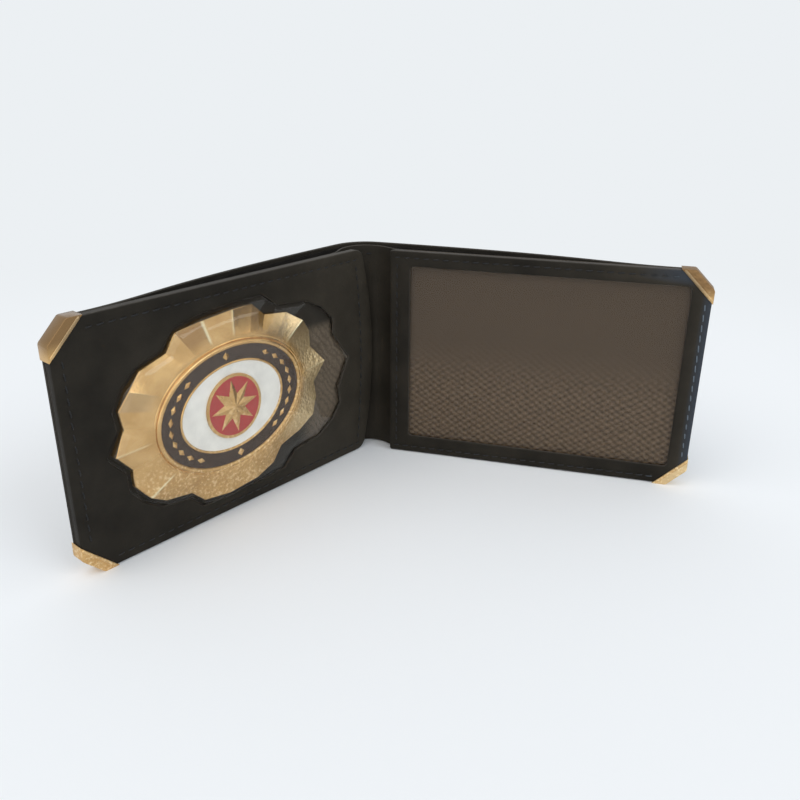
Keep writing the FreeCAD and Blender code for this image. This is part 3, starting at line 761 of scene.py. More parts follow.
def suede_finish(name, shaded, painted_lit):
    """The flesh side of leather, brushed, with a paler tone painted on as light on the spine side below the
    clear cover's shoulder.
    """
    look = Finish(name, shaded, 0.9, 0.1)
    across = look.along((-SWING_COS, -SWING_SIN, 0.0))
    start = -(FOLD.x * SWING_COS + FOLD.y * SWING_SIN)
    shoulder = FOOT + BADGE_UP + 0.5 * badge().half_height
    # Painted light: where this share is high, the backing takes the paler lit colour
    share = look.smooth_share(across, start + 31 * MM, start + 21 * MM)
    for value, low, high in ((look.axis("Z"), shoulder + 2.5 * MM, shoulder - 1.5 * MM),
                             (look.noise(900.0, 5.0, 0.7), 0.0, 0.62),
                             (look.wave(wave_scale(1.6 * MM), 7.0, "DIAGONAL", 3.0), -1.6, 1.0)):
        share = look.maths("MULTIPLY", share, look.smooth_share(value, low, high))
    return look.made({"Base Color": look.mix(share, shaded, painted_lit)})


def shared(name, make, *values):
    """The finish of that name, made the first time it is asked for."""
    name += "_finish"
    return bpy.data.materials.get(name) or make(name, *values)


def black_leather():
    own = leather()
    return shared("black_leather", leather_finish, own.leather_colour, own.worn_colour, own.painted_sheen_colour)


def gilt():
    return shared("gilt_brass", gilt_finish, badge().gilt_colour)


# The sheets that run round the spine

# How long the cover stays out and how soon it comes in, at the foot, at mid height and at the top
SWEEPS = ((0.06, 0.80), (0.40, 0.45), (0.72, 0.24))
BLEND_REACH = 14.0 * MM
# How far the painted light on the sheets reaches out from the spine, and how strong it is at most
PAINTED_LIGHT_REACH = 12.0 * MM
PAINTED_LIGHT_MOST = 0.7


def spine_depth(up):
    """Outer depth of the cover at the spine, at each height."""
    own = leather()
    base = DIVIDER_BACK + own.lining + own.glue_line + own.cover_leather
    share = own.gape_height / HEIGHT
    foot, middle, top = own.gape_foot, own.gape_middle, own.gape_top
    bow = (middle - foot - (top - foot) * share) / (share * (1 - share))
    t = up / HEIGHT
    return base + foot + (top - foot) * t + bow * t * (1 - t)


def sweep_shares(up):
    """The two shares of SWEEPS at each height, on smooth curves through the three that are set."""
    heights = (0.0, leather().gape_height, HEIGHT)
    shares = []
    for values in zip(*SWEEPS):
        total = np.zeros_like(up)
        for own, value in zip(heights, values):
            term = np.full_like(up, value)
            for other in heights:
                if other != own:
                    term = term * (up - other) / (own - other)
            total = total + term
        shares.append(total)
    return shares


def curve_weights(t):
    """The weights of a cubic Bezier curve's four points."""
    return (1 - t) ** 3, 3 * t * (1 - t) ** 2, 3 * t * t * (1 - t), t ** 3


def gaping_plan(columns, up, offset):
    """Distance out and inner depth of the cover, or of its lining, at each column and height."""
    own = leather()
    inner = spine_depth(up) - own.cover_leather - offset
    seam = COVER_SEAM_DEPTH - offset
    end = REACH - own.seam
    early, late = sweep_shares(up)
    b0, b1, b2, b3 = curve_weights(np.clip(columns, 0, 1))
    out = b1 * early * end + b2 * (end - late * end) + b3 * end
    out = np.where(columns > 1, end + (columns - 1) * own.seam, out)
    return out, np.where(columns > 1, seam, (b0 + b1) * inner + (b2 + b3) * seam)


def divider_plan(columns, up, offset):
    """Distance out and front depth of the divider at each column."""
    bend = leather().divider_bend
    spine = DIVIDER_BACK - leather().divider_leather
    b0, b1, b2, b3 = curve_weights(np.clip(columns, 0, 1))
    out = (b1 + b2) * bend / 2 + b3 * bend
    out = np.where(columns > 1, bend + (columns - 1) * (REACH - bend), out)
    return out, np.where(columns > 1, DIVIDER_FACE, (b0 + b1) * spine + (b2 + b3) * DIVIDER_FACE)


def pocket_plan(columns, up, offset):
    """Distance out and front depth of the cloth behind the window."""
    return POCKET_LOW[0] + columns * (REACH - POCKET_LOW[0]), np.full_like(up, POCKET_LOW[1])


def round_the_spine(curved, straight):
    """Stations from the outer edge of the badge half, round the spine, to the outer edge of the ID half,
    with a number of columns on the curved and on the straight part of each half."""
    columns = np.concatenate([np.linspace(0, 1, curved), 1 + np.linspace(0, 1, straight)[1:]])
    turns = np.linspace(0, 1, 15)[1:-1] * SWING
    spine = [("spine", turn) for turn in turns[::-1]]
    return [(LEFT, c) for c in columns[::-1]] + spine + [(RIGHT, c) for c in columns]


def sheet_piece(name, plan, offset, thickness, margin, stations, material):
    """A sheet with rounded top and bottom edges, laid over a row of stations a margin short of the wallet's
    foot and top. Gives it, its flat width and height, and its flat area."""
    cut_start = REACH - leather().corner_cut
    rows = np.linspace(0, 1, 40)
    arc = np.radians(np.linspace(0, 180, 7))[1:-1]
    half = thickness / 2
    share = np.concatenate([0 * rows, 0.5 - 0.5 * np.cos(arc), 0 * rows + 1, 0.5 + 0.5 * np.cos(arc)])
    worn = np.concatenate([0 * rows, 0 * arc + 1, 0 * rows, 0 * arc + 1])
    rings, heights, pale = [], [], []
    for side, where in stations:
        column = 0.0 if side == "spine" else where
        out_at = float(plan(np.array([column]), np.array([HEIGHT / 2]), offset)[0][0])
        trim = max(margin, out_at - cut_start)
        bottom, top = trim, HEIGHT - trim
        inner_up = bottom + half + (top - bottom - thickness) * rows
        up = np.concatenate([inner_up, top - half + half * np.sin(arc), inner_up[::-1],
                             bottom + half - half * np.sin(arc)])
        out, inner = plan(np.full(len(up), column), up, offset)
        depth = inner + thickness * share
        rings.append(round_fold(where, depth, up) if side == "spine" else place(side, out, depth, up))
        heights.append(up)
        # Painted light: the sheets' colour is paled towards the spine
        pale.append(PAINTED_LIGHT_MOST * fading(out, 0.0, PAINTED_LIGHT_REACH))
    measured_row = 10
    steps = [np.linalg.norm(b[measured_row] - a[measured_row]) for a, b in zip(rings, rings[1:])]
    along = np.concatenate([[0.0], np.cumsum(steps)])
    count = len(share)
    uvs = np.stack([np.repeat(along, count), np.concatenate(heights)], axis=1)
    obj = piece(name, np.vstack(rings), stacked(len(rings), count), material, 60.0,
                {"wear": np.tile(worn, len(rings)), "painted_light": np.concatenate(pale)}, uvs)
    spans = np.array([up.max() - up.min() for up in heights])
    area = np.sum((spans[1:] + spans[:-1]) / 2 * np.diff(along))
    return obj, (float(along[-1]), float(spans.max())), float(area)


def bend_at_fold(obj):
    """Bakes a sheet's placement into its mesh; the two points it works out near the fold are not used."""
    start = place(LEFT, BLEND_REACH, 0.0, HEIGHT / 2)
    end = place(RIGHT, BLEND_REACH, 0.0, HEIGHT / 2)
    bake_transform(obj)


class WALLET_OT_sheets(bpy.types.Operator):
    """Make the outer cover, its lining and the divider, each one sheet round the spine"""
    bl_idname = "wallet.sheets"
    bl_label = "Cover, lining and divider"

    def execute(self, context):
        own = leather()
        stations = round_the_spine(44, 14)
        cover, _, _ = sheet_piece("cover", gaping_plan, 0.0, own.cover_leather, 0.0, stations,
                                  black_leather())
        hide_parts("cover_left", "spine_cover", "cover_right")
        cloth = shared("lining_cloth", woven_finish, own.lining_colour, (0.7 * MM, 0.7 * MM), 0.5, 0.15 * MM)
        lining, flat, area = sheet_piece("cover_lining", gaping_plan, own.lining + own.glue_line, own.lining,
                                         own.lining_margin, stations, cloth)
        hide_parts("cover_lining_left", "spine_lining", "cover_lining_right")
        divider, _, _ = sheet_piece("divider", divider_plan, 0.0, own.divider_leather, 0.0,
                                    round_the_spine(18, 50), black_leather())
        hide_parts("divider_left", "spine_divider", "divider_right")
        for sheet, slot in ((cover, "black_leather"), (lining, "lining_fabric"), (divider, "black_leather")):
            bend_at_fold(sheet)
        return {"FINISHED"}


# The badge's outline, shared by the badge, its clear cover and the panel's cut-out

# Corners of a quarter of the sunburst, as shares of its half width and half height, with 1 for a ridge
QUARTER = ((0.885, 0.220, 0), (0.893, 0.414, 0), (0.806, 0.590, 1), (0.673, 0.732, 0),
           (0.454, 0.800, 0), (0.351, 0.963, 0), (0.141, 1.0, 1))

# How bright a painted highlight each ridge gets, round from the outer tip
RIDGE_HIGHLIGHTS = (0.30, 0.12, 0.70, 0.45, 1.0, 0.60, 0.30, 0.10, 0.10, 0.75)

# Points along the edge of one facet, and how far each takes up the painted highlight of the nearer ridge
FACET_STEPS = (0.0, 0.012, 0.035, 0.09, 0.25, 0.5, 0.75, 0.91, 0.965, 0.988)
FACET_HIGHLIGHT_SHARES = (1.0, 0.95, 0.7, 0.0, 0.0, 0.0, 0.0, 0.0, 0.7, 0.95)

# Painted highlight on the down-facing shoulder facets, painted light on the facets towards the spine, and
# painted shade on the upper facets
SHOULDER_SHINE = 0.10
SPINE_SHINE = 0.35
PAINTED_FACET_SHADE = 0.75


def badge_outline():
    """The sunburst's corners as across, up and 1 for a ridge or 0 for a notch, round from its outer tip."""
    half = [(1.0, 0.0, 1)] + list(QUARTER) + [(-x, y, ridge) for x, y, ridge in QUARTER[::-1]]
    whole = half + [(-x, -y, ridge) for x, y, ridge in half]
    return np.array([(x * badge().half_width, y * badge().half_height, ridge) for x, y, ridge in whole])


def badge_edge():
    """Points along the badge's edge as rows of across, up, height, share of the facet's hollow, painted
    highlight and painted shade."""
    own = badge()
    outline = badge_outline()
    bright = np.zeros(len(outline))
    bright[outline[:, 2] > 0] = RIDGE_HIGHLIGHTS
    points = []
    for i, a in enumerate(outline):
        after = (i + 1) % len(outline)
        b = outline[after]
        lean = (a[2] - b[2]) * (b[:2] - a[:2]) / np.linalg.norm(b[:2] - a[:2])
        shoulder = a[0] + b[0] > own.half_width and a[1] + b[1] > 0 and lean[1] < -0.5
        # Painted shade on the upper facets, by how far they lean outwards
        painted_facet_shade = PAINTED_FACET_SHADE * max(0.0, lean[0]) if a[1] + b[1] > own.half_height else 0.0
        rise_a, rise_b = (own.ridge_edge if corner[2] else own.valley_edge for corner in (a, b))
        for t, share in zip(FACET_STEPS, FACET_HIGHLIGHT_SHARES):
            across, up = a[:2] + (b[:2] - a[:2]) * t
            # Painted highlight near each ridge, on the shoulder facets that face down, and growing towards
            # the spine
            shine = max(share * bright[i if t < 0.5 else after], SHOULDER_SHINE if shoulder else 0.0,
                        SPINE_SHINE * np.clip((-across / own.half_width - 0.45) / 0.3, 0, 1))
            points.append((across, up, rise_a + (rise_b - rise_a) * t, 4 * t * (1 - t), shine, painted_facet_shade))
    return np.array(points).T


def on_panel(across, up):
    """Distance out and height on the badge half of points on the turned badge."""
    turn = badge().turn
    return (BADGE_OUT + across * math.cos(turn) + up * math.sin(turn),
            BADGE_UP - across * math.sin(turn) + up * math.cos(turn))


def badge_points(across, up, rise):
    out, height = on_panel(across, up)
    return place(LEFT, out, SEAT_DEPTH - rise, height)


def drawn_out(loop, clearance, shrink=1.0, drift=1.0):
    """A loop round the badge grown by a clearance and drawn out at its spine end, there also down below
    the middle."""
    own = badge()
    grown = loop * shrink * (1 + clearance / own.half_height)
    share = drift * np.clip(-loop[:, 0] / own.half_width, 0, None)
    down = own.foot_drift * np.clip(0.5 - loop[:, 1] / (0.2 * own.half_height), 0, 1)
    return grown - np.stack([own.spine_drift * share, down * share], axis=1)


# The sewn panels

WAVE_HEIGHT = 0.16 * MM
STITCH_DIP = 0.20 * MM
STITCH_DIP_REACH = 0.75 * MM
LEDGE_RISE = 0.28 * MM
LEDGE_REACH = 2.2 * MM
BOW_REACH = 9.0 * MM
CORNER_ROUNDING = 0.4 * MM
CUTOUT_ROUNDING = 0.9 * MM
CUTOUT_STEP = 0.6 * MM
WINDOW_STEP = 0.8 * MM
PANEL_CELL = 1.5 * MM
FRAME_CELL = 1.4 * MM
# Painted light on the badge panel: full up to this distance from the fold, fading out beyond it
PAINTED_LIGHT_FULL = 14.0 * MM
PAINTED_LIGHT_FADE = 34.0 * MM
THREAD_SINK = 0.10 * MM
HEM_DROP = 3.0 * MM
STITCH_SLANT = 0.10


def waves(points, size, seed):
    """Gentle uneven waves over a leather face, the same each run."""
    count = 7
    rng = np.random.default_rng(seed)
    value = np.zeros(len(points))
    for _ in range(count):
        pull = rng.normal(size=2)
        pull *= rng.uniform(60, 190) / np.linalg.norm(pull)
        value += np.sin(points @ pull + rng.uniform(0, math.tau)) / count
    return size * value


def sewn_relief(stitches, seed, ledge=None):
    """Height of a panel's face: pulled in along its stitches, waved, and raised over a hidden ledge."""
    def relief(points):
        rise = waves(points, WAVE_HEIGHT, seed)
        rise = rise - STITCH_DIP * np.exp(-(distance_to_runs(points, stitches) / STITCH_DIP_REACH) ** 2)
        if ledge is not None:
            gap = distance_to_runs(points, [closed(ledge)])
            rise = rise + LEDGE_RISE * np.exp(-(gap / LEDGE_REACH) ** 2)
        return rise
    return relief


def straight_edge():
    """Where the badge panel's spine-side edge starts and ends, before its bow."""
    return PANEL_EDGE + leather().spine_bow


def bowed(points):
    """Points of the badge panel drawn towards the spine, most at mid height and at the spine-side edge."""
    own = leather()
    share = np.clip((points[:, 1] - own.fold_rounding) / (HEIGHT - 2 * own.fold_rounding), 0, 1)
    near = fading(points[:, 0] - straight_edge(), 0.0, BOW_REACH)
    pull = own.spine_bow * 4 * share * (1 - share) * near
    return np.stack([points[:, 0] - pull, points[:, 1]], axis=1)


def stitch_runs(edge, top, outer, foot, spine):
    """Four straight runs of stitches at set insets, stopping short of the corner caps."""
    stop = leather().cap_leg + 1.2 * MM
    corner = 3.0 * MM
    near = edge + spine
    return [np.array([(near, HEIGHT - top), (REACH - stop, HEIGHT - top)]),
            np.array([(REACH - outer, HEIGHT - stop), (REACH - outer, stop)]),
            np.array([(REACH - stop, foot), (near, foot)]),
            np.array([(near, foot + corner), (near, HEIGHT - top - corner)])]


def badge_panel_stitches():
    runs = stitch_runs(straight_edge(), top=3.4 * MM, outer=3.2 * MM, foot=2.6 * MM, spine=4.0 * MM)
    return [spaced(run, 2.0 * MM) for run in runs]


def id_frame_stitches():
    return stitch_runs(FRAME_EDGE, top=2.3 * MM, outer=1.9 * MM, foot=2.0 * MM, spine=2.4 * MM)


class WALLET_OT_badge_panel(bpy.types.Operator):
    """Make the leather panel with the badge-shaped cut-out, and dress the board and backing behind it"""
    bl_idname = "wallet.badge_panel"
    bl_label = "Badge panel"

    def execute(self, context):
        own, sizes = leather(), badge()
        edge = straight_edge()
        rounding = [own.fold_rounding] + [CORNER_ROUNDING] * 4 + [own.fold_rounding]
        clearance = sizes.cover_clearance + sizes.cover_wall + sizes.cutout_clearance
        corners = on_panel(*drawn_out(badge_outline()[:, :2], clearance).T)
        hole = rounded_loop(np.stack(corners, axis=1), CUTOUT_ROUNDING, CUTOUT_STEP)

        def turned_end(loop):
            return np.where(loop[:, 0] > edge + own.fold_rounding, DIVIDER_FACE, LEATHER_BACK)

        # Painted light: the panel's colour is paled towards the spine
        def painted_light(points):
            share = fading(points[:, 0], PAINTED_LIGHT_FULL, PAINTED_LIGHT_FADE)
            return share * share * (3 - 2 * share)

        stitches = badge_panel_stitches()
        relief = sewn_relief(stitches, context.scene.wallet_stage.seed, hole)
        outline = cut_corners(edge, REACH, 0.0, HEIGHT, own.corner_cut)
        panel = sewn_panel("badge_panel_leather", LEFT, outline, rounding, hole, (PANEL_FACE, LEATHER_BACK),
                           turned_end, stitches, relief, PANEL_CELL, painted_light, bowed)
        mount(panel, BADGE_HALF, "black_leather", "badge_panel")
        dress(shared("grey_board", board_finish, own.board_colour), "badge_board")
        dress(shared("suede", suede_finish, own.suede_colour, own.painted_lit_backing_colour), "badge_backing")
        return {"FINISHED"}


def window_frame(seed):
    """The leather frame round the card window."""
    own = leather()
    near, far = FRAME_EDGE + own.window_spine, REACH - own.window_outer
    foot, top = own.window_foot, HEIGHT - own.window_top
    opening = [(near, foot), (far, foot), (far, top), (near, top)]
    hole = rounded_loop(opening, own.window_rounding, WINDOW_STEP)

    def turned_end(loop):
        return np.where(loop[:, 0] > FRAME_EDGE + 1.0 * MM, POCKET_LOW[1], FILM_LOW[1])

    # Painted light from the right: paler up to 1 along the outer edge and the top right, and a painted
    # bluish sheen past 1
    def painted_light(points):
        inward, down = REACH - points[:, 0], HEIGHT - points[:, 1]
        corner = fading(down, 3.0 * MM, 4.0 * MM) * fading(inward, 8.0 * MM, 32.0 * MM)
        pale = np.maximum(fading(inward, 2.5 * MM, 5.0 * MM), corner)
        return pale + np.maximum(fading(inward, 0.78 * MM, 2.6 * MM), corner)

    stitches = id_frame_stitches()
    return sewn_panel("id_frame_leather", RIGHT, cut_corners(FRAME_EDGE, REACH, 0.0, HEIGHT, own.corner_cut),
                      CORNER_ROUNDING, hole, (FRAME_FACE, FILM_LOW[1]), turned_end, stitches,
                      sewn_relief(stitches, seed), FRAME_CELL, painted_light)


def window_film():
    """The clear film, sagging a little inside its edges."""
    cut, rounding, step, cell = 4.3 * MM, 0.3 * MM, 2.0 * MM, 2.4 * MM
    inset, sag_depth, sag_fade = 0.02 * MM, 0.045 * MM, 6.0 * MM
    corners = cut_corners(FILM_LOW[0], FILM_HIGH[0], FILM_LOW[2] - FOOT, FILM_HIGH[2] - FOOT, cut)
    loop = rounded_loop(corners, rounding, step)
    edge = [closed(loop)]
    low, high = loop.min(0), loop.max(0)
    columns, rows = (np.arange(low[i], high[i], cell) for i in (0, 1))
    grid = np.stack(np.meshgrid(columns, rows), axis=-1).reshape(-1, 2)
    grid = grid[inside_loop(grid, loop) & (distance_to_runs(grid, edge) > cell / 2)]
    flat = np.vstack([loop, grid])
    share = np.clip(distance_to_runs(flat, edge) / sag_fade, 0, 1)
    sag = sag_depth * (1 + waves(flat, 1.0, 3)) * share
    faces = filled([loop], grid)
    faces += [tuple(i + len(flat) for i in f[::-1]) for f in faces]
    faces += ring_faces(0, len(flat), len(loop))
    points = [place(RIGHT, flat[:, 0], depth + sag, flat[:, 1])
              for depth in (FILM_LOW[1] + inset, FILM_HIGH[1] - inset)]
    return piece("id_film", np.vstack(points), faces,
                 shared("clear_film", clear_finish, (0.97, 0.965, 0.955), 0.012, 0.5, 0.06))


class WALLET_OT_id_panel(bpy.types.Operator):
    """Make the window frame, the clear film and the cloth at the back of the card slot"""
    bl_idname = "wallet.id_panel"
    bl_label = "Card window"

    def execute(self, context):
        mount(window_frame(context.scene.wallet_stage.seed + 1), ID_HALF, "black_leather", "id_frame")
        mount(window_film(), ID_HALF, "clear_film", "id_window")
        cloth = shared("pocket_cloth", woven_finish, leather().pocket_colour, (3.3 * MM, 2.3 * MM), 0.42,
                       0.45 * MM, 0.47 * HEIGHT)
        thickness = POCKET_HIGH[1] - POCKET_LOW[1]
        pocket, flat, area = sheet_piece("id_pocket_cloth", pocket_plan, 0.0, thickness, 0.0,
                                         [(RIGHT, c) for c in np.linspace(0, 1, 70)], cloth)
        mount(pocket, ID_HALF, "lining_fabric", "id_pocket_lining")
        return {"FINISHED"}


# The badge

# From the plateau's edge in to the dark enamel
BEZEL_REACH = 2.8


class WALLET_OT_badge(bpy.types.Operator):
    """Make the struck badge with its rays, rims and enamels, and finish its emblem and ornaments"""
    bl_idname = "wallet.badge"
    bl_label = "Badge"

    def execute(self, context):
        own = badge()
        across, up, edge_rise, hollow, shine, painted_facet_shade = badge_edge()
        count = len(across)
        half_axes = np.array([own.half_width, own.half_height])
        plateau = half_axes * own.bezel_share + own.plateau_margin
        rim = half_axes * own.rim_share
        angles = np.arctan2(up / plateau[1], across / plateau[0])
        top, enamel, floor = own.plateau_height, own.enamel_top, own.enamel_floor
        crest, rim_top = top + own.bezel_rise, top + own.rim_rise

        def oval(axes, rise):
            return badge_points(axes[0] * np.cos(angles), axes[1] * np.sin(angles), rise)

        taper, foot_rise, edge_drop = 0.995, 0.12 * MM, 0.22 * MM
        rings = [badge_points(across * taper, up * taper, 0.0), badge_points(across, up, foot_rise),
                 badge_points(across, up, edge_rise - edge_drop)]
        # These carry the painted highlight and the painted shade of each ray ring; the rings after them get
        # none
        ridges, painted_facet_shades = [np.zeros(count)] * 3, [np.zeros(count)] * 3
        inner_across, inner_up = plateau[0] * np.cos(angles), plateau[1] * np.sin(angles)
        for t in np.concatenate([[0.02], np.linspace(0.06, 1.0, 13)]):
            rise = edge_rise + (top - edge_rise) * t
            rise = rise - own.ray_scoop * hollow * (1 - t) ** 0.5 * (1 if t > 0.03 else 0.7)
            rings.append(badge_points(across + (inner_across - across) * t, up + (inner_up - up) * t, rise))
            ridges.append(shine * min(1.0, 4 * (1 - t)))
            painted_facet_shades.append(painted_facet_shade * min(1.0, 2.5 * (1 - t)))
        bezel_steps = ((0.45, top, 0.0), (0.60, top, 0.22), (0.85, top, 0.30), (1.05, top, 0.16),
                       (1.2, top, 0.10), (1.28, top, 0.34), (1.5, crest, -0.18), (1.8, crest, -0.03),
                       (2.1, crest, 0.0), (2.4, crest, -0.06), (2.65, crest, -0.24), (2.76, crest, -0.45),
                       (BEZEL_REACH, enamel, -0.1), (BEZEL_REACH, floor, 0.0))
        rim_steps = ((0.0, floor, 0.0), (0.0, enamel, -0.05), (0.06, rim_top, -0.2), (0.2, rim_top, -0.05),
                     (0.4, rim_top, 0.0), (0.6, rim_top, -0.05), (0.74, rim_top, -0.2),
                     (0.8, enamel, -0.05), (0.8, floor, 0.0))
        for axes, steps in ((plateau, bezel_steps), (rim, rim_steps)):
            for inward, level, lift in steps:
                rings.append(oval(axes - inward * MM, level + lift * MM))
        plain = np.zeros((len(rings) - len(ridges)) * count)
        body = piece("badge_gilt", np.vstack(rings), stacked(len(rings), count), gilt(), 28.0,
                     {"ridge": np.concatenate([*ridges, plain]),
                      "painted_facet_shade": np.concatenate([*painted_facet_shades, plain])})
        mount(body, BADGE_HALF, "gilt_brass", "badge_body")

        enamel_drop, swell = 0.02 * MM, 0.06 * MM
        outer = plateau - BEZEL_REACH * MM
        rings = [oval(outer, floor), oval(outer, enamel - enamel_drop)]
        for t in np.linspace(0.04, 0.96, 9):
            rings.append(oval(outer - (outer - rim) * t, enamel + swell * math.sin(math.pi * t) - swell))
        rings += [oval(rim, enamel - enamel_drop), oval(rim, floor)]
        faces = stacked(len(rings), count, ends=False) + ring_faces((len(rings) - 1) * count, 0, count)
        dark = piece("badge_ring_enamel", np.vstack(rings), faces,
                     shared("dark_enamel", enamel_finish, own.ring_colour, own.ring_gloss))
        mount(dark, BADGE_HALF, "dark_enamel", "enamel_ring")
        field = rim - own.rim_width
        rings = [oval(field, floor), oval(field, enamel - enamel_drop)]
        for t in (0.03, 0.1, 0.3, 0.6, 0.9):
            rings.append(oval(field * (1 - t), enamel - swell * (1 - t) ** 6 * (1 if t < 0.2 else 0)))
        white = piece("badge_field_enamel", np.vstack(rings), stacked(len(rings), count),
                      shared("white_enamel", enamel_finish, own.field_colour))
        mount(white, BADGE_HALF, "white_enamel", "enamel_field")
        dress(gilt(), "emblem_roundel", "emblem_star", "ring_ornaments")
        dress(shared("red_enamel", enamel_finish, own.emblem_colour), "emblem_enamel")
        return {"FINISHED"}


COVER_ROUNDING = 1.3 * MM
COVER_STEP = 0.8 * MM

# The clear cover's size and drift, from its foot up to its crown
COVER_SHRINKS = (1.0, 0.995, 0.988, 0.980, 0.955, 0.915, 0.86, 0.78, 0.66, 0.5, 0.28, 0.08)
COVER_DRIFTS = (1.0, 0.90, 0.74, 0.55, 0.36, 0.20, 0.09, 0.02, 0.0, 0.0, 0.0, 0.0)
COVER_RISES = np.array([0.0, 0.6, 1.3, 1.98, 2.8, 3.45, 3.85]) * MM
CROWN_DROPS = np.array([0.28, 0.12, 0.05, 0.01, 0.0]) * MM
INNER_DROPS = np.array([0.0, 0.3, 0.7, 1, 1, 1, 1, 1, 1, 1, 1, 1])


class WALLET_OT_badge_cover(bpy.types.Operator):
    """Make the clear formed cover over the badge, with its flange behind the leather"""
    bl_idname = "wallet.badge_cover"
    bl_label = "Clear badge cover"

    def execute(self, context):
        own = badge()
        wall, room = own.cover_wall, own.cover_clearance
        outer = room + wall
        flange = outer + own.cover_flange
        low = SEAT_DEPTH - DOME_HIGH[1]
        high = low + wall
        rises = np.concatenate([SEAT_DEPTH - PANEL_FACE + COVER_RISES,
                                SEAT_DEPTH - DOME_LOW[1] - CROWN_DROPS])
        unit = rounded_loop(badge_outline()[:, :2], COVER_ROUNDING, COVER_STEP)
        count = len(unit)

        def ring(clearance, rise, shrink=1.0, drift=1.0):
            return badge_points(*drawn_out(unit, clearance, shrink, drift).T, rise)

        def shell(clearance, levels):
            return [ring(clearance, *step) for step in zip(levels, COVER_SHRINKS, COVER_DRIFTS)]

        outside = [ring(flange, low), ring(flange, high), ring(outer + 0.35 * MM, high),
                   ring(outer + 0.08 * MM, high + 0.12 * MM)] + shell(outer, rises)
        inside = shell(room, rises - wall * INNER_DROPS)[::-1] + [ring(room, low)]
        crown, under = (len(outside) - 1) * count, len(outside) * count
        faces = stacked(len(outside), count, ends=False) + stacked(len(inside), count, under, ends=False)
        faces += ring_faces(under + (len(inside) - 1) * count, 0, count)
        faces += [tuple(range(start, start + count)) for start in (crown, under)]
        cover = piece("badge_clear_cover", np.vstack(outside + inside), faces,
                      shared("clear_cover", clear_finish, (0.98, 0.98, 0.975), 0.016, 0.20, 0.035), 35.0)
        mount(cover, BADGE_HALF, "clear_film", "badge_cover")
        return {"FINISHED"}


# The corner caps

BEAD_HALF_WIDTH = 0.5 * MM
BEAD_RISE = 0.3 * MM
BEAD_SUNK = 0.1 * MM
BEAD_ENDS = np.array([0.9, 1.0, 1.3, 1.9]) * MM
BEAD_SIZES = (0.2, 0.6, 0.9, 1.0, 1.0, 0.9, 0.6, 0.2)
# Painted highlight share on the beads
BEAD_SHINE = 0.10
CAP_BEVEL = 0.12 * MM


def cap_bead(node, side):
    """The rolled bead along the inner edge of a corner cap's face, and the same on its back."""
    low, high = flat_box(node, side)
    foot = low[2] < FOOT + HEIGHT / 2
    start = np.array([low[0], low[2] if foot else high[2]])
    end = np.array([high[0], high[2] if foot else low[2]])
    span = np.linalg.norm(end - start)
    ahead = (end - start) / span
    corner = np.array([ahead[1], -ahead[0]]) * (1 if foot else -1)
    section = [(math.cos(t), -BEAD_RISE * math.sin(t)) for t in np.radians(np.linspace(0, 180, 9))]
    section += [(-1.0, BEAD_SUNK), (1.0, BEAD_SUNK)]
    stops = np.concatenate([BEAD_ENDS, span - BEAD_ENDS[::-1]])
    points, faces = [], []
    for depth, outwards in ((low[1], 1), (high[1], -1)):
        faces += stacked(len(stops), len(section), len(points))
        for along, size in zip(stops, BEAD_SIZES):
            for across, lift in section:
                out, up = start + ahead * along + corner * BEAD_HALF_WIDTH * (1.0 + across * size)
                points.append((out, depth + outwards * lift * (size if lift < 0 else 1.0), up - FOOT))
    return piece(node + "_bead", place(side, *np.array(points).T), faces, gilt(), 50.0,
                 {"ridge": np.full(len(points), BEAD_SHINE)})


class WALLET_OT_caps(bpy.types.Operator):
    """Make the four gilt corner caps"""
    bl_idname = "wallet.caps"
    bl_label = "Corner caps"

    def execute(self, context):
        # Each cap's painted highlight share; the lower right cap is painted paler all over
        for node, side, body, shine in (("corner_top_left", LEFT, BADGE_HALF, 0.0),
                                        ("corner_bottom_left", LEFT, BADGE_HALF, 0.0),
                                        ("corner_top_right", RIGHT, ID_HALF, 0.0),
                                        ("corner_bottom_right", RIGHT, ID_HALF, 0.30)):
            cap = softened_copy(node + "_cap", node, gilt(), CAP_BEVEL)
            mark(cap.data, {"ridge": np.full(len(cap.data.vertices), shine)})
            mount(cap, body, "gilt_brass", node)
            mount(cap_bead(node, side), body, "gilt_brass")
        return {"FINISHED"}


# Stitching

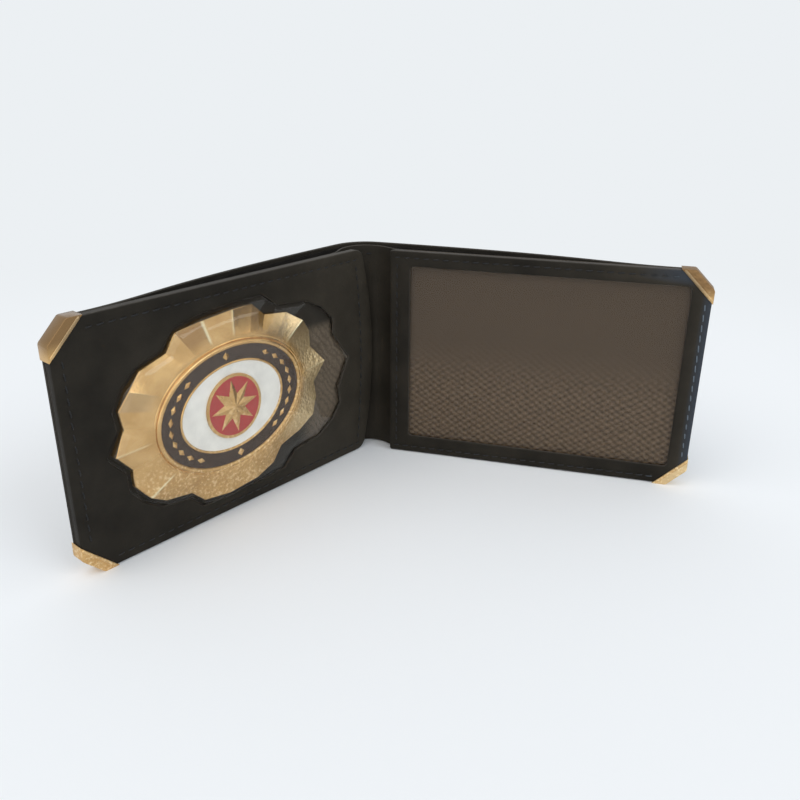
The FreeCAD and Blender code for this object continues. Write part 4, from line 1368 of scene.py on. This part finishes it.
def stitch_tree():
    """Geometry nodes that sew a curve: one arched stitch at each step along it. Gives the tree and the
    identifier of each of its inputs."""
    tree = bpy.data.node_groups.new("sewing", "GeometryNodeTree")
    inputs = {}
    for name, kind in (("Run", "Geometry"), ("Pitch", "Float"), ("Length", "Float"), ("Radius", "Float"),
                       ("Slant", "Float"), ("Face", "Vector"), ("Thread", "Material")):
        socket = tree.interface.new_socket(name, in_out="INPUT", socket_type="NodeSocket" + kind)
        inputs[name] = socket.identifier
    tree.interface.new_socket("Sewn", in_out="OUTPUT", socket_type="NodeSocketGeometry")
    nodes = Nodes(tree)
    given = nodes.add("NodeGroupInput")

    def point(*values):
        return nodes.add("ShaderNodeCombineXYZ", dict(enumerate(values)))[0]

    half = nodes.maths("MULTIPLY", given["Length"], 0.5)
    dip = nodes.maths("MULTIPLY", given["Radius"], -1.6)
    lift = nodes.maths("MULTIPLY", given["Radius"], 1.7)
    lean = nodes.maths("MULTIPLY", half, given["Slant"])
    start = point(nodes.maths("MULTIPLY", half, -1.0), nodes.maths("MULTIPLY", lean, -1.0), dip)
    arch = nodes.add("GeometryNodeCurveQuadraticBezier", {"Resolution": 7, "Start": start,
                                                          "Middle": point(0.0, 0.0, lift),
                                                          "End": point(half, lean, dip)})["Curve"]
    section = nodes.add("GeometryNodeCurvePrimitiveCircle", {"Resolution": 7, "Radius": given["Radius"]})
    stitch = nodes.add("GeometryNodeCurveToMesh", {"Curve": arch, "Profile Curve": section["Curve"],
                                                   "Fill Caps": True})
    heading = nodes.add("GeometryNodeInputTangent")[0]
    forward = nodes.add("FunctionNodeAlignRotationToVector", {"Vector": heading}, axis="X")[0]
    upright = nodes.add("FunctionNodeAlignRotationToVector", {"Rotation": forward, "Vector": given["Face"]},
                        axis="Z", pivot_axis="X")[0]
    steps = nodes.add("GeometryNodeResampleCurve", {"Curve": given["Run"], "Length": given["Pitch"]},
                      mode="LENGTH")
    sewn = nodes.add("GeometryNodeInstanceOnPoints", {"Points": steps["Curve"], "Instance": stitch["Mesh"],
                                                      "Rotation": upright})[0]
    real = nodes.add("GeometryNodeRealizeInstances", {0: sewn})[0]
    dressed = nodes.add("GeometryNodeSetMaterial", {"Geometry": real, "Material": given["Thread"]})[0]
    nodes.add("NodeGroupOutput", {0: dressed})
    return tree, inputs


def sewn_runs(name, tree, inputs, runs, turn):
    """Stitches along runs of points in the row frame, as one plain mesh, on a face that is turned about the
    fold."""
    own = leather()
    curve = bpy.data.curves.new(name + "_runs", "CURVE")
    curve.dimensions = "3D"
    for run in runs:
        spline = curve.splines.new("POLY")
        spline.points.add(len(run) - 1)
        spline.points.foreach_set("co", np.concatenate([run, np.ones((len(run), 1))], axis=1).ravel())
    guide = bpy.data.objects.new(name + "_guide", curve)
    bpy.context.scene.collection.objects.link(guide)
    modifier = guide.modifiers.new("sewing", "NODES")
    modifier.node_group = tree
    thread = shared("black_thread", thread_finish, own.thread_colour, own.painted_sheen_thread)
    for key, value in (("Pitch", own.stitch_pitch), ("Length", own.stitch_length), ("Slant", STITCH_SLANT),
                       ("Radius", own.thread_radius), ("Face", (math.sin(turn), -math.cos(turn), 0.0)),
                       ("Thread", thread)):
        modifier[inputs[key]] = value
    graph = bpy.context.evaluated_depsgraph_get()
    mesh = bpy.data.meshes.new_from_object(guide.evaluated_get(graph), depsgraph=graph)
    mesh.name = name
    guide.modifiers.remove(modifier)
    bpy.data.objects.remove(guide)
    bpy.data.curves.remove(curve)
    if not len(mesh.polygons):
        raise RuntimeError("no stitches were made for " + name)
    return shown(name, mesh)


class WALLET_OT_stitching(bpy.types.Operator):
    """Sew the edges of both panels and the hem at the top of the spine"""
    bl_idname = "wallet.stitching"
    bl_label = "Stitching"

    def execute(self, context):
        tree, inputs = stitch_tree()
        bowed_runs = [bowed(run) for run in badge_panel_stitches()]
        for name, side, turn, runs, depth, body in (
                ("badge_panel_stitches", LEFT, SWING, bowed_runs, PANEL_FACE, BADGE_HALF),
                ("id_frame_stitches", RIGHT, 0.0, id_frame_stitches(), FRAME_FACE, ID_HALF)):
            laid = [place(side, run[:, 0], depth + THREAD_SINK, run[:, 1]) for run in runs]
            mount(sewn_runs(name, tree, inputs, laid, turn), body, "black_leather")
        turns = np.linspace(0.12, 0.88, 9) * SWING
        hem = round_fold(turns, DIVIDER_BACK - leather().divider_leather, HEIGHT - HEM_DROP)
        thread = sewn_runs("spine_hem_stitches", tree, inputs, [hem], SWING / 2)
        bend_at_fold(thread)
        return {"FINISHED"}


# The stage

# Each light's name, place, spread in degrees, power and tint
LIGHTS = (("window_light", (0.80, -0.30, 0.62), 35.0, 0.60, (0.86, 0.93, 1.0)),
          ("fill_light", (0.25, -1.0, 0.28), 60.0, 0.50, (1.0, 0.96, 0.91)),
          ("key_light", (-0.35, -0.45, 0.85), 50.0, 0.68, (1.0, 0.965, 0.92)),
          ("glint_light", (0.97, 0.14, 0.16), 11.0, 0.06, (1.0, 0.985, 0.96)))
DAYLIGHT = (0.95, 0.975, 1.0)
DAYLIGHT_STRENGTH = 0.74
FLOOR_FADE = (0.12, 0.42)


def shown_rays(nodes):
    """1 for rays that show the background as it is: those of the camera, of mirrors and of clear plastic."""
    path = nodes.add("ShaderNodeLightPath")
    straight = nodes.maths("MAXIMUM", path["Is Camera Ray"], path["Is Transmission Ray"])
    return nodes.maths("MAXIMUM", straight, path["Is Glossy Ray"])


def floor_finish(name, base, sky):
    """A pale floor that takes the wallet's shadow and passes into the background further out."""
    look = Finish(name, base, 0.9, 0.0)
    reach = look.add("ShaderNodeVectorMath", {0: look.where}, operation="LENGTH")["Value"]
    plain = look.maths("MULTIPLY", look.smooth_share(reach, *FLOOR_FADE), shown_rays(look))
    glow = look.add("ShaderNodeEmission", {"Color": sky, "Strength": 1.0})["Emission"]
    look.overlay(plain, look.shader.outputs["BSDF"], glow, "Material Output")
    return look.material


class WALLET_OT_stage(bpy.types.Operator):
    """Set up the floor, the light and the camera"""
    bl_idname = "wallet.stage"
    bl_label = "Stage"

    def execute(self, context):
        scene = context.scene
        stage = scene.wallet_stage
        half = stage.floor_size
        floor = piece("floor", [(-half, -half, 0), (half, -half, 0), (half, half, 0), (-half, half, 0)],
                      [(0, 1, 2, 3)], floor_finish("pale_floor", stage.floor_colour, stage.sky_colour))

        world = bpy.data.worlds.new("studio")
        scene.world = world
        world.use_nodes = True
        nodes = Nodes(world.node_tree)
        light = world.node_tree.nodes["Background"]
        nodes.feed(light, {"Color": DAYLIGHT, "Strength": DAYLIGHT_STRENGTH})
        seen = nodes.add("ShaderNodeBackground", {"Color": stage.sky_colour, "Strength": 1.0})["Background"]
        nodes.overlay(shown_rays(nodes), light.outputs["Background"], seen, "World Output")

        for name, where, spread, power, tint in LIGHTS:
            data = bpy.data.lights.new(name, "SUN")
            data.angle = math.radians(spread)
            data.energy = power
            data.color = tint
            lamp = bpy.data.objects.new(name, data)
            lamp.location = where
            lamp.rotation_euler = (-Vector(where)).to_track_quat("-Z", "Y").to_euler()
            scene.collection.objects.link(lamp)

        camera = bpy.data.objects.new("camera", bpy.data.cameras.new("camera"))
        camera.data.lens = stage.lens
        camera.data.sensor_width = 36.0
        camera.data.clip_start = 0.01
        level = math.cos(stage.pitch)
        ahead = Vector((-math.sin(stage.yaw) * level, math.cos(stage.yaw) * level, -math.sin(stage.pitch)))
        look = ahead.to_track_quat("-Z", "Y").to_matrix() @ Matrix.Rotation(stage.roll, 3, "Z")
        camera.matrix_world = Matrix.Translation(Vector(stage.camera_place)) @ look.to_4x4()
        scene.collection.objects.link(camera)
        scene.camera = camera
        scene.view_settings.view_transform = "Standard"
        return {"FINISHED"}


STEPS = (WALLET_OT_sheets, WALLET_OT_badge_panel, WALLET_OT_id_panel, WALLET_OT_badge, WALLET_OT_badge_cover,
         WALLET_OT_caps, WALLET_OT_stitching, WALLET_OT_stage)


class WALLET_PT_panel(bpy.types.Panel):
    """Lists the wallet's sizes, colours and steps"""
    bl_idname = "WALLET_PT_panel"
    bl_label = "ID badge wallet"
    bl_space_type = "VIEW_3D"
    bl_region_type = "UI"
    bl_category = "Wallet"

    def draw(self, context):
        for step in STEPS:
            self.layout.operator(step.bl_idname)
        for group in (context.scene.wallet_leather, context.scene.wallet_badge, context.scene.wallet_stage):
            box = self.layout.box()
            for name in group.__annotations__:
                box.prop(group, name)


CLASSES = (WalletLeather, WalletBadge, WalletStage, *STEPS, WALLET_PT_panel)


def register():
    for cls in CLASSES:
        bpy.utils.register_class(cls)
    bpy.types.Scene.wallet_leather = PointerProperty(type=WalletLeather)
    bpy.types.Scene.wallet_badge = PointerProperty(type=WalletBadge)
    bpy.types.Scene.wallet_stage = PointerProperty(type=WalletStage)


def unregister():
    del bpy.types.Scene.wallet_stage
    del bpy.types.Scene.wallet_badge
    del bpy.types.Scene.wallet_leather
    for cls in reversed(CLASSES):
        bpy.utils.unregister_class(cls)


def main():
    register()
    for step in STEPS:
        group, name = step.bl_idname.split(".")
        getattr(getattr(bpy.ops, group), name)()


if __name__ == "__main__":
    main()
